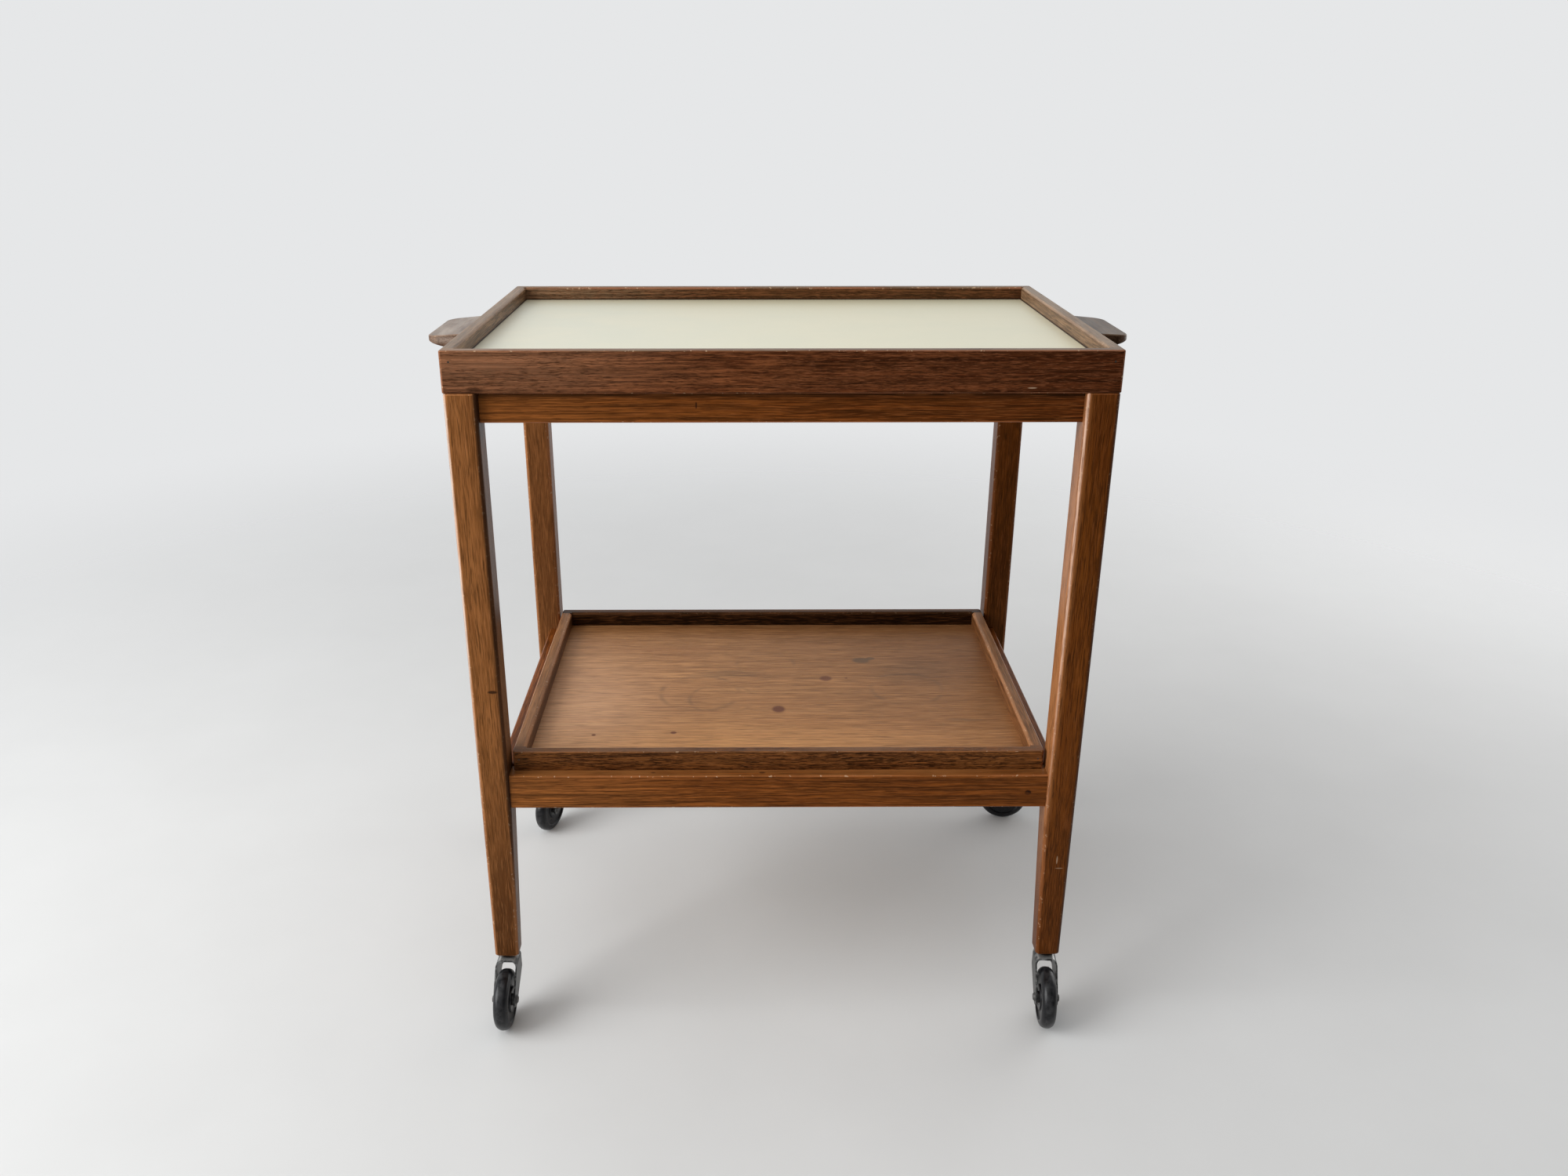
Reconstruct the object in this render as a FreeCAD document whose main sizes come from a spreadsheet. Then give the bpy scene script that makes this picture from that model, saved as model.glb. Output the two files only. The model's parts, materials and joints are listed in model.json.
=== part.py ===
import FreeCAD, Part
import math
import os
import re
import Sketcher

# Two-tier tea trolley: a teak leg frame on four swivel castors, a lift-off serving tray with a
# paddle handle at each end, and a rimmed lower shelf fixed to the rails.
# X runs along the trolley, Y from its front to its back and Z up. The origin lies on the floor,
# under the middle of the frame. Lengths are millimetres and turns are degrees.

SIZES = (
    # Serving tray
    ("tray_width", 600.0),
    ("tray_depth", 400.0),
    ("tray_overhang", 0.7),
    ("rim_height", 38.0),
    ("rim_thick", 12.0),
    ("rim_round", 1.5),
    ("rim_inner_round", 3.0),
    ("rim_foot_round", 1.0),
    ("rim_corner", 2.5),
    ("tray_well", 14.0),
    ("laminate_thick", 1.0),
    ("core_thick", 6.0),
    ("groove_depth", 5.0),
    ("core_gap", 0.5),
    ("batten_width", 20.0),
    ("batten_drop", 7.0),
    ("batten_gap", 1.0),
    ("batten_chamfer", 2.0),
    # Paddle handles
    ("handle_length", 114.0),
    ("handle_taper", 5.5),
    ("handle_reach", 47.0),
    ("handle_drop", 10.0),
    ("handle_slope", 3.6),
    ("handle_root", 22.0),
    ("handle_tip", 6.0),
    ("handle_corner", 14.0),
    ("handle_edge", 1.8),
    ("handle_screw_spacing", 60.0),
    ("handle_screw_rise", 12.0),
    ("handle_screw_bite", 10.0),
    # Legs
    ("leg_section", 30.0),
    ("leg_length", 604.0),
    ("leg_proud", 2.0),
    ("leg_round", 4.5),
    ("leg_top_round", 1.5),
    ("foot_width", 25.0),
    ("foot_depth", 22.0),
    ("foot_round", 4.0),
    ("foot_chamfer", 3.0),
    # Rails and their tenons
    ("apron_height", 28.0),
    ("apron_thick", 18.0),
    ("apron_recess", 8.0),
    ("lower_rail_rise", 180.6),
    ("lower_rail_height", 37.0),
    ("lower_rail_thick", 22.0),
    ("lower_rail_recess", 3.5),
    ("side_rail_thick", 20.0),
    ("side_recess", 16.5),
    ("rail_round", 2.0),
    ("tenon_thick", 9.0),
    ("tenon_set", 4.0),
    ("tenon_shoulder", 5.0),
    ("tenon_reach", 14.0),
    ("side_tenon_set", 2.0),
    ("side_tenon_reach", 6.0),
    ("mortise_gap", 1.0),
    # Lower shelf
    ("shelf_gap", 2.7),
    ("shelf_ledge", 12.0),
    ("shelf_rim_height", 20.8),
    ("shelf_rim_thick", 12.0),
    ("shelf_rim_round", 1.2),
    ("shelf_rim_inner_round", 4.0),
    ("shelf_rim_corner", 3.0),
    ("shelf_core_thick", 3.0),
    ("shelf_veneer_thick", 0.8),
    ("rebate_depth", 5.0),
    ("shelf_screw_inset", 66.0),
    ("shelf_screw_set", 3.5),
    ("shelf_screw_bite", 13.0),
    ("counterbore_depth", 14.0),
    ("counterbore_diameter", 8.0),
    # Screws and pins
    ("screw_diameter", 3.6),
    ("screw_head_diameter", 7.0),
    ("screw_crown_diameter", 4.0),
    ("screw_head_height", 2.2),
    ("screw_slot_width", 1.0),
    ("screw_slot_depth", 1.0),
    ("screw_point", 3.0),
    ("pin_diameter", 1.8),
    ("tray_pin_length", 30.0),
    ("tray_pin_inset", 8.5),
    ("tray_pin_drop", 10.0),
    ("shelf_pin_length", 28.0),
    ("shelf_pin_inset", 6.0),
    ("shelf_pin_rise", 12.0),
    ("wood_fit", 0.05),
    # Castors
    ("castor_height", 70.0),
    ("castor_trail", 30.0),
    ("wheel_diameter", 63.0),
    ("wheel_width", 15.5),
    ("tread_round", 7.2),
    ("dish_depth", 1.8),
    ("dish_inner_diameter", 27.0),
    ("dish_outer_diameter", 46.0),
    ("bush_diameter", 12.0),
    ("bush_gap", 0.3),
    ("axle_diameter", 6.0),
    ("axle_head_diameter", 10.0),
    ("axle_crown_diameter", 6.5),
    ("axle_head_height", 2.0),
    ("running_fit", 0.05),
    ("fork_gap", 19.8),
    ("fork_plate", 1.6),
    ("fork_bend", 6.0),
    ("crown_back", 12.0),
    ("crown_front", 12.0),
    ("web_height", 17.0),
    ("axle_boss", 16.0),
    ("stem_diameter", 8.0),
    ("stem_collar_diameter", 14.0),
    ("stem_collar_height", 1.6),
    ("stem_head_diameter", 11.0),
    ("stem_head_height", 2.0),
    ("stem_end_gap", 2.0),
    ("swivel_gap", 0.2),
    ("socket_diameter", 12.0),
    ("socket_length", 38.0),
    ("socket_flange_diameter", 19.0),
    ("socket_flange_thick", 1.0),
    ("front_left_angle", -1.5),
    ("front_right_angle", -5.0),
    ("back_left_angle", -20.0),
    ("back_right_angle", 84.0),
)
ALIASES = {alias for alias, number in SIZES}

doc = FreeCAD.newDocument("tea_trolley")
sheet = doc.addObject("Spreadsheet::Sheet", "size")
for row, (alias, number) in enumerate(SIZES, start=1):
    sheet.set(f"A{row}", alias)
    sheet.set(f"B{row}", str(number))
    sheet.setAlias(f"B{row}", alias)
doc.recompute()

# Levels and faces that several pieces share, as expressions of the sheet's sizes
LEG_TOP = "(castor_height + leg_length)"
TRAY_TOP = f"({LEG_TOP} + rim_height)"
CORE_TOP = "(rim_height - tray_well - laminate_thick)"
CORE_BASE = f"({CORE_TOP} - core_thick)"
RAIL_BASE = "(castor_height + lower_rail_rise)"
RAIL_TOP = f"({RAIL_BASE} + lower_rail_height)"
FRAME_X = "(tray_width / 2 - tray_overhang)"
FRAME_Y = "(tray_depth / 2 + leg_proud)"
LONG_RAIL = f"(2 * {FRAME_X} - 2 * leg_section)"
SIDE_RAIL = f"(2 * {FRAME_Y} - 2 * leg_section)"
WELL_X = "(tray_width / 2 - rim_thick)"
WELL_Y = "(tray_depth / 2 - rim_thick)"
APRON_INNER_X = f"({FRAME_X} - side_recess - apron_thick)"
APRON_INNER_Y = f"({FRAME_Y} - apron_recess - apron_thick)"
LOWER_RAIL_Y = f"({FRAME_Y} - lower_rail_recess - lower_rail_thick / 2)"
SHELF_X = f"({FRAME_X} - leg_section - shelf_gap)"
SHELF_Y = f"({FRAME_Y} - lower_rail_recess - shelf_ledge)"
SHELF_WELL_X = f"({SHELF_X} - shelf_rim_thick)"
SHELF_WELL_Y = f"({SHELF_Y} - shelf_rim_thick)"
SHELF_SCREW_X = f"({SHELF_X} - shelf_screw_inset)"
SHELF_SCREW_Y = f"({SHELF_Y} - shelf_screw_set)"
CROWN_TOP = "(castor_height - socket_flange_thick - swivel_gap - stem_collar_height)"
FORK_HALF = "(fork_gap / 2 + fork_plate)"
AXLE_Z = "(wheel_diameter / 2)"

# Turn of a piece about Z that brings its outer side, drawn towards -Y, to each side
FRONT, RIGHT, BACK, LEFT = 0, 90, 180, -90

nodes = []


def sized(text):
    """The expression with each of the sheet's names written as the sheet's own cell."""
    return re.sub(r"\b[a-z_]+\b", lambda m: f"size.{m[0]}" if m[0] in ALIASES else m[0], text)


def measure(text):
    return float(sheet.evalExpression(sized(text)))


def bind(target, path, text):
    target.setExpression(path, sized(text))


def inward(side, near, far):
    """Span from near to far, measured inwards from an outer face on the given side."""
    return (near, far) if side < 0 else (f"-({far})", f"-({near})")


def place(piece, x="0", y="0", z="0", turn=0.0, axis=(0, 0, 1)):
    piece.Placement = FreeCAD.Placement(FreeCAD.Vector(), FreeCAD.Rotation(FreeCAD.Vector(*axis), turn))
    for letter, text in zip("xyz", (x, y, z)):
        bind(piece, f"Placement.Base.{letter}", text)


def new_body(label):
    body = doc.addObject("PartDesign::Body", label)
    body.Label = label
    return body


def new_node(label):
    body = new_body(label)
    nodes.append(body)
    return body


# Sketches

def new_sketch(body, plane, lift="0"):
    sketch = body.newObject("Sketcher::SketchObject", "outline")
    support = next(f for f in body.Origin.OriginFeatures if f.Role == plane)
    sketch.AttachmentSupport = [(support, "")]
    sketch.MapMode = "FlatFace"
    bind(sketch, "AttachmentOffset.Base.z", lift)
    return sketch


def hold(sketch, kind, element, end, text):
    """Hold one coordinate of a point at a signed distance from the sketch's origin."""
    number = measure(text)
    if abs(number) < 1e-9:
        axis_line = -2 if kind == "DistanceX" else -1
        sketch.addConstraint(Sketcher.Constraint("PointOnObject", element, end, axis_line))
    elif number > 0:
        index = sketch.addConstraint(Sketcher.Constraint(kind, -1, 1, element, end, number))
        bind(sketch, f"Constraints[{index}]", text)
    else:
        index = sketch.addConstraint(Sketcher.Constraint(kind, element, end, -1, 1, -number))
        bind(sketch, f"Constraints[{index}]", f"-({text})")


def hold_point(sketch, element, end, x, y):
    hold(sketch, "DistanceX", element, end, x)
    hold(sketch, "DistanceY", element, end, y)


def polygon(sketch, *corners):
    points = [FreeCAD.Vector(measure(x), measure(y), 0) for x, y in corners]
    first = sketch.GeometryCount
    for start, finish in zip(points, points[1:] + points[:1]):
        sketch.addGeometry(Part.LineSegment(start, finish))
    for index, (x, y) in enumerate(corners):
        following = first + (index + 1) % len(corners)
        sketch.addConstraint(Sketcher.Constraint("Coincident", first + index, 2, following, 1))
        hold_point(sketch, first + index, 1, x, y)


def rectangle(sketch, left, right, bottom, top):
    polygon(sketch, (left, bottom), (right, bottom), (right, top), (left, top))


def rounded(sketch, left, right, bottom, top, low_radius, high_radius):
    """A rectangle with rounded corners; a low radius of None leaves the lower corners square."""
    x0, x1, y0, y1 = (measure(text) for text in (left, right, bottom, top))
    low = measure(low_radius) if low_radius else 0.0
    high = measure(high_radius)
    at = lambda x, y: FreeCAD.Vector(x, y, 0)
    sketch.addGeometry(Part.LineSegment(at(x0 + low, y0), at(x1 - low, y0)))
    sketch.addGeometry(Part.LineSegment(at(x1, y0 + low), at(x1, y1 - high)))
    sketch.addGeometry(Part.LineSegment(at(x1 - high, y1), at(x0 + high, y1)))
    sketch.addGeometry(Part.LineSegment(at(x0, y1 - high), at(x0, y0 + low)))
    for line, direction in enumerate(("Horizontal", "Vertical", "Horizontal", "Vertical")):
        sketch.addConstraint(Sketcher.Constraint(direction, line))
    corners = (
        (0, 1, x1 - low, y0 + low, low_radius, -90),
        (1, 2, x1 - high, y1 - high, high_radius, 0),
        (2, 3, x0 + high, y1 - high, high_radius, 90),
        (3, 0, x0 + low, y0 + low, low_radius, 180),
    )
    for before, after, x, y, radius, start in corners:
        if radius is None:
            sketch.addConstraint(Sketcher.Constraint("Coincident", before, 2, after, 1))
            continue
        circle_shape = Part.Circle(at(x, y), FreeCAD.Vector(0, 0, 1), measure(radius))
        angles = math.radians(start), math.radians(start + 90)
        arc = sketch.addGeometry(Part.ArcOfCircle(circle_shape, *angles))
        sketch.addConstraint(Sketcher.Constraint("Tangent", before, 2, arc, 1))
        sketch.addConstraint(Sketcher.Constraint("Tangent", arc, 2, after, 1))
        index = sketch.addConstraint(Sketcher.Constraint("Radius", arc, measure(radius)))
        bind(sketch, f"Constraints[{index}]", radius)
    hold(sketch, "DistanceY", 0, 1, bottom)
    hold(sketch, "DistanceX", 1, 1, right)
    hold(sketch, "DistanceY", 2, 1, top)
    hold(sketch, "DistanceX", 3, 1, left)


def circle(sketch, x, y, radius):
    centre = FreeCAD.Vector(measure(x), measure(y), 0)
    ring = sketch.addGeometry(Part.Circle(centre, FreeCAD.Vector(0, 0, 1), measure(radius)))
    index = sketch.addConstraint(Sketcher.Constraint("Radius", ring, measure(radius)))
    bind(sketch, f"Constraints[{index}]", radius)
    hold_point(sketch, ring, 3, x, y)


def spin_axis(sketch, half_length, height):
    """A construction line along the sketch's horizontal, to revolve about."""
    reach, level = measure(half_length), measure(height)
    start, finish = FreeCAD.Vector(-reach, level, 0), FreeCAD.Vector(reach, level, 0)
    line = sketch.addGeometry(Part.LineSegment(start, finish), True)
    hold_point(sketch, line, 1, f"-({half_length})", height)
    hold_point(sketch, line, 2, half_length, height)


# Features

def finish_feature(body, feature, grows):
    """Make the feature the body's tip and check that it added or took away material."""
    before = body.Shape.Volume if not body.Shape.isNull() else 0.0
    body.Tip = feature
    doc.recompute()
    change = body.Shape.Volume - before
    if (change > 0) != grows or abs(change) < 1e-6:
        raise RuntimeError(f"{body.Label}: {feature.Name} changed the volume by {change:.4f}")
    return feature


def pad(body, sketch, length, symmetric=False):
    feature = body.newObject("PartDesign::Pad", "pad")
    feature.Profile = sketch
    feature.SideType = "Symmetric" if symmetric else "One side"
    bind(feature, "Length", length)
    return finish_feature(body, feature, True)


def pocket(body, sketch, length=None, symmetric=False, upwards=False):
    """Cut against the sketch's normal, or along it when upwards; no length cuts right through."""
    feature = body.newObject("PartDesign::Pocket", "pocket")
    feature.Profile = sketch
    feature.SideType = "Symmetric" if symmetric else "One side"
    feature.Reversed = upwards
    if length is None:
        feature.Type = "ThroughAll"
    else:
        bind(feature, "Length", length)
    return finish_feature(body, feature, False)


def revolve(body, sketch, axis, cut=False):
    feature = body.newObject("PartDesign::Groove" if cut else "PartDesign::Revolution", "turned")
    feature.Profile = sketch
    feature.ReferenceAxis = (sketch, [axis])
    feature.Angle = 360
    return finish_feature(body, feature, not cut)


def soften(body, feature, chosen, radius, kind="Fillet", grows=False):
    """Round or bevel the edges of the feature that the test chooses; inner corners grow."""
    names = [f"Edge{i}" for i, edge in enumerate(feature.Shape.Edges, start=1) if chosen(edge)]
    softened = body.newObject(f"PartDesign::{kind}", "softened")
    softened.Base = (feature, names)
    bind(softened, "Radius" if kind == "Fillet" else "Size", radius)
    return finish_feature(body, softened, grows)


def flat_at(edge, letter, level):
    """True where the whole edge lies at one level of one axis of its body."""
    box = edge.BoundBox
    low, high = getattr(box, f"{letter}Min"), getattr(box, f"{letter}Max")
    return abs(low - level) < 1e-3 and abs(high - level) < 1e-3


def drill(body, plane, lift, centres, radius, length=None, upwards=False):
    sketch = new_sketch(body, plane, lift)
    for x, y in centres:
        circle(sketch, x, y, radius)
    return pocket(body, sketch, length, symmetric=length is None, upwards=upwards)


# Leg frame

def make_leg(label, side_x, side_y):
    """A square leg, rounded on its arrises, whose two inner faces taper below the lower rails."""
    body = new_node(label)
    place(body, f"{side_x} * {FRAME_X}", f"{side_y} * {FRAME_Y}", "castor_height")
    section = inward(side_x, "0", "leg_section") + inward(side_y, "0", "leg_section")
    foot_section = inward(side_x, "0", "foot_width") + inward(side_y, "0", "foot_depth")
    foot = new_sketch(body, "XY_Plane")
    rounded(foot, *foot_section, "foot_round", "foot_round")
    knee = new_sketch(body, "XY_Plane", "lower_rail_rise")
    rounded(knee, *section, "leg_round", "leg_round")
    taper = body.newObject("PartDesign::AdditiveLoft", "taper")
    taper.Profile = foot
    taper.Sections = [knee]
    taper.Ruled = True
    finish_feature(body, taper, True)
    shaft_sketch = new_sketch(body, "XY_Plane", "lower_rail_rise")
    rounded(shaft_sketch, *section, "leg_round", "leg_round")
    shaft = pad(body, shaft_sketch, "leg_length - lower_rail_rise")
    top = measure("leg_length")
    rounded_leg = soften(body, shaft, lambda edge: flat_at(edge, "Z", top), "leg_top_round")
    soften(body, rounded_leg, lambda edge: flat_at(edge, "Z", 0.0), "foot_chamfer", "Chamfer")

    long_x = inward(side_x, "leg_section - tenon_reach - mortise_gap", "leg_section")
    side_y_span = inward(side_y, "leg_section - side_tenon_reach - mortise_gap", "leg_section")
    side_near = "side_recess + side_tenon_set"
    side_x_span = inward(side_x, side_near, f"{side_near} + tenon_thick")
    levels = (
        ("leg_length - apron_height", "apron_height", "apron_recess + tenon_set"),
        ("lower_rail_rise", "lower_rail_height", "lower_rail_recess + tenon_set"),
    )
    for base, height, long_near in levels:
        long_y = inward(side_y, long_near, f"{long_near} + tenon_thick")
        for span in (long_x + long_y, side_x_span + side_y_span):
            mortise = new_sketch(body, "XY_Plane", f"{base} + {height} - tenon_shoulder")
            rectangle(mortise, *span)
            pocket(body, mortise, f"{height} - 2 * tenon_shoulder")

    centre = f"{-side_x} * foot_width / 2", f"{-side_y} * foot_depth / 2"
    drill(body, "XY_Plane", "0", [centre], "socket_diameter / 2 + wood_fit", "socket_length + wood_fit", True)


def make_rail(label, turn, away, z, length, thick, height, recess, tenon_set, tenon_reach):
    """A rail with its outer face towards -Y before it is turned, and a tenon at each end."""
    body = new_node(label)
    middle = f"({away} - {recess} - {thick} / 2)"
    x = {LEFT: f"-{middle}", RIGHT: middle}.get(turn, "0")
    y = {FRONT: f"-{middle}", BACK: middle}.get(turn, "0")
    place(body, x, y, z, turn)
    section = new_sketch(body, "YZ_Plane")
    rounded(section, f"-{thick} / 2", f"{thick} / 2", "0", height, "rail_round", "rail_round")
    pad(body, section, length, symmetric=True)
    tenon = new_sketch(body, "YZ_Plane")
    near = f"{tenon_set} - {thick} / 2"
    rectangle(tenon, near, f"{near} + tenon_thick", "tenon_shoulder", f"{height} - tenon_shoulder")
    pad(body, tenon, f"{length} + 2 * {tenon_reach}", symmetric=True)
    return body


def make_frame():
    for front, side_y in (("front", -1), ("back", 1)):
        for left, side_x in (("left", -1), ("right", 1)):
            make_leg(f"leg_{front}_{left}", side_x, side_y)
    long_rail = LONG_RAIL, "tenon_set", "tenon_reach"
    side_rail = SIDE_RAIL, "side_tenon_set", "side_tenon_reach"
    for name, turn in (("front", FRONT), ("back", BACK), ("left", LEFT), ("right", RIGHT)):
        along = turn in (FRONT, BACK)
        away = FRAME_Y if along else FRAME_X
        length, tenon_set, tenon_reach = long_rail if along else side_rail
        apron_recess = "apron_recess" if along else "side_recess"
        make_rail(f"apron_{name}", turn, away, f"{LEG_TOP} - apron_height", length, "apron_thick",
                  "apron_height", apron_recess, tenon_set, tenon_reach)
        thick = "lower_rail_thick" if along else "side_rail_thick"
        lower_recess = "lower_rail_recess" if along else "side_recess"
        rail = make_rail(f"lower_rail_{name}", turn, away, RAIL_BASE, length, thick,
                         "lower_rail_height", lower_recess, tenon_set, tenon_reach)
        if along:
            bore_shelf_screws(rail)


def bore_shelf_screws(rail):
    """Counterbored holes up through a long lower rail for the shelf's screws."""
    y = f"{LOWER_RAIL_Y} - {SHELF_SCREW_Y}"
    centres = [(SHELF_SCREW_X, y), (f"-{SHELF_SCREW_X}", y)]
    drill(rail, "XY_Plane", "0", centres, "counterbore_diameter / 2", "counterbore_depth", True)
    drill(rail, "XY_Plane", "0", centres, "screw_diameter / 2 + wood_fit", "lower_rail_height", True)


# Serving tray

def rim_blank(body, half_length, thick, height):
    section = new_sketch(body, "YZ_Plane")
    rectangle(section, f"-{thick} / 2", f"{thick} / 2", "0", height)
    return pad(body, section, f"2 * {half_length}", symmetric=True)


def long_rim_blank(body, half_length, half_well, thick, height, corner, outer_round, inner_round):
    """A rim that runs over the ends of its neighbours, with its two outer corners and its outer top
    edge softened; its inner top edge is rounded between the neighbours only."""
    blank = rim_blank(body, half_length, thick, height)
    end, inner, top = measure(half_length), measure(f"{thick} / 2"), measure(height)

    def outer_corner(edge):
        at_end = flat_at(edge, "X", end) or flat_at(edge, "X", -end)
        return at_end and flat_at(edge, "Y", -inner)

    cornered = soften(body, blank, outer_corner, corner)
    outer_top = lambda edge: flat_at(edge, "Z", top) and not flat_at(edge, "Y", inner)
    soften(body, cornered, outer_top, outer_round)
    return round_inner_edge(body, half_well, f"{thick} / 2", height, inner_round)


def round_inner_edge(body, half_well, face, top, radius):
    """Cut a rim's inner top edge to a quarter round over the length of the well."""
    sketch = new_sketch(body, "YZ_Plane")
    flat, wall = f"{face} - {radius}", f"{top} - {radius}"
    over, beyond = f"{top} + {radius}", f"{face} + {radius}"
    corners = ((flat, top), (flat, over), (beyond, over), (beyond, wall), (face, wall))
    points = [FreeCAD.Vector(measure(x), measure(y), 0) for x, y in corners]
    for start, finish in zip(points, points[1:]):
        sketch.addGeometry(Part.LineSegment(start, finish))
    centre = FreeCAD.Vector(measure(flat), measure(wall), 0)
    round_shape = Part.Circle(centre, FreeCAD.Vector(0, 0, 1), measure(radius))
    arc = sketch.addGeometry(Part.ArcOfCircle(round_shape, 0.0, math.pi / 2))
    last = arc - 1
    for line in range(last):
        sketch.addConstraint(Sketcher.Constraint("Coincident", line, 2, line + 1, 1))
    sketch.addConstraint(Sketcher.Constraint("Coincident", last, 2, arc, 1))
    sketch.addConstraint(Sketcher.Constraint("Coincident", arc, 2, 0, 1))
    index = sketch.addConstraint(Sketcher.Constraint("Radius", arc, measure(radius)))
    bind(sketch, f"Constraints[{index}]", radius)
    for line, (x, y) in enumerate(corners[:-1]):
        hold_point(sketch, line, 1, x, y)
    hold_point(sketch, last, 2, *corners[-1])
    return pocket(body, sketch, f"2 * {half_well}", symmetric=True)


def soften_end_rim(body, blank, thick, height, outer_round, inner_round):
    """Soften the outer top edge of a rim that stands between two long rims, and round its inner one."""
    top, inner = measure(height), measure(f"{thick} / 2")
    outer_top = lambda edge: flat_at(edge, "Z", top) and flat_at(edge, "Y", -inner)
    inner_top = lambda edge: flat_at(edge, "Z", top) and flat_at(edge, "Y", inner)
    crisp = soften(body, blank, outer_top, outer_round)
    return soften(body, crisp, inner_top, inner_round)


def cut_groove(body, half_length):
    """The groove in a rim's inner face that takes the edge of the tray's core."""
    groove = new_sketch(body, "XY_Plane", CORE_TOP)
    rectangle(groove, f"-{half_length}", half_length, "rim_thick / 2 - groove_depth", "rim_thick / 2")
    pocket(body, groove, "core_thick")


def make_tray_long_rim(label, turn):
    body = new_node(label)
    side = -1 if turn == FRONT else 1
    place(body, "0", f"{side} * (tray_depth / 2 - rim_thick / 2)", LEG_TOP, turn)
    blank = long_rim_blank(body, "(tray_width / 2)", WELL_X, "rim_thick", "rim_height", "rim_corner",
                           "rim_round", "rim_inner_round")
    inner = measure("rim_thick / 2")
    outer_foot = lambda edge: flat_at(edge, "Z", 0.0) and not flat_at(edge, "Y", inner)
    soften(body, blank, outer_foot, "rim_foot_round")
    cut_groove(body, f"({WELL_X} + groove_depth)")
    x, z = "(tray_width / 2 - tray_pin_inset)", "rim_height - tray_pin_drop"
    drill(body, "XZ_Plane", "0", [(x, z), (f"-{x}", z)], "pin_diameter / 2 + wood_fit")


def make_tray_end_rim(label, turn):
    body = new_node(label)
    side = -1 if turn == LEFT else 1
    place(body, f"{side} * (tray_width / 2 - rim_thick / 2)", "0", LEG_TOP, turn)
    blank = rim_blank(body, WELL_Y, "rim_thick", "rim_height")
    topped = soften_end_rim(body, blank, "rim_thick", "rim_height", "rim_round", "rim_inner_round")
    outer = -measure("rim_thick / 2")
    outer_foot = lambda edge: flat_at(edge, "Z", 0.0) and flat_at(edge, "Y", outer)
    soften(body, topped, outer_foot, "rim_foot_round")
    cut_groove(body, WELL_Y)
    z = "handle_screw_rise"
    screws = [("handle_screw_spacing / 2", z), ("-handle_screw_spacing / 2", z)]
    drill(body, "XZ_Plane", "0", screws, "screw_diameter / 2 + wood_fit")
    pin = "tray_pin_inset - rim_thick / 2", "rim_height - tray_pin_drop"
    depth = "tray_pin_length - rim_thick + wood_fit"
    drill(body, "YZ_Plane", WELL_Y, [pin], "pin_diameter / 2 + wood_fit", depth)
    drill(body, "YZ_Plane", f"-{WELL_Y}", [pin], "pin_diameter / 2 + wood_fit", depth, True)


def make_handle(label, side):
    """A paddle on the outer face of an end rim, thick at the rim and thin at its rounded edge."""
    body = new_node(label)
    place(body, f"{side} * tray_width / 2", "0", f"{TRAY_TOP} - handle_drop", 0 if side > 0 else 180)
    profile = new_sketch(body, "XZ_Plane")
    polygon(profile, ("0", "0"), ("0", "-handle_root"),
            ("handle_reach", "-(handle_slope + handle_tip)"), ("handle_reach", "-handle_slope"))
    pad(body, profile, "handle_length", symmetric=True)
    plan = new_sketch(body, "XY_Plane")
    for sign in ("", "-"):
        polygon(plan, ("0", f"{sign}handle_length / 2"), ("handle_reach", f"{sign}handle_length / 2"),
                ("handle_reach", f"{sign}(handle_length / 2 - handle_taper)"))
    blank = pocket(body, plan, symmetric=True)
    reach = measure("handle_reach")
    upright = lambda edge: flat_at(edge, "X", reach) and edge.BoundBox.YLength < 1e-3
    paddle = soften(body, blank, upright, "handle_corner")
    fall = measure("handle_slope") / reach
    rise = measure("handle_root - handle_slope - handle_tip") / reach
    root = measure("handle_root")

    def outline_edge(edge):
        points = edge.discretize(3)
        over = all(abs(p.z + fall * p.x) < 1e-3 for p in points)
        under = all(abs(p.z + root - rise * p.x) < 1e-3 for p in points)
        return (over or under) and not flat_at(edge, "X", 0.0)

    soften(body, paddle, outline_edge, "handle_edge")
    z = "handle_screw_rise - rim_height + handle_drop"
    centres = [("handle_screw_spacing / 2", z), ("-handle_screw_spacing / 2", z)]
    depth = "handle_screw_bite + wood_fit"
    drill(body, "YZ_Plane", "0", centres, "screw_diameter / 2 + wood_fit", depth, True)


def make_board(label, half_x, half_y, thick, base):
    """A flat rectangular board or sheet, centred on the trolley."""
    board = doc.addObject("Part::Box", label)
    board.Label = label
    bind(board, "Length", f"2 * {half_x}")
    bind(board, "Width", f"2 * {half_y}")
    bind(board, "Height", thick)
    place(board, f"-{half_x}", f"-{half_y}", base)
    nodes.append(board)


def make_batten(label, side):
    """A batten under the tray that drops just inside the aprons and keeps the tray in place."""
    body = new_node(label)
    place(body, f"{side} * ({APRON_INNER_X} - batten_gap - batten_width / 2)", "0", LEG_TOP)
    section = new_sketch(body, "XZ_Plane")
    rectangle(section, "-batten_width / 2", "batten_width / 2", "-batten_drop", CORE_BASE)
    blank = pad(body, section, f"2 * ({APRON_INNER_Y} - batten_gap)", symmetric=True)
    base = -measure("batten_drop")
    soften(body, blank, lambda edge: flat_at(edge, "Z", base), "batten_chamfer", "Chamfer")


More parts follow.
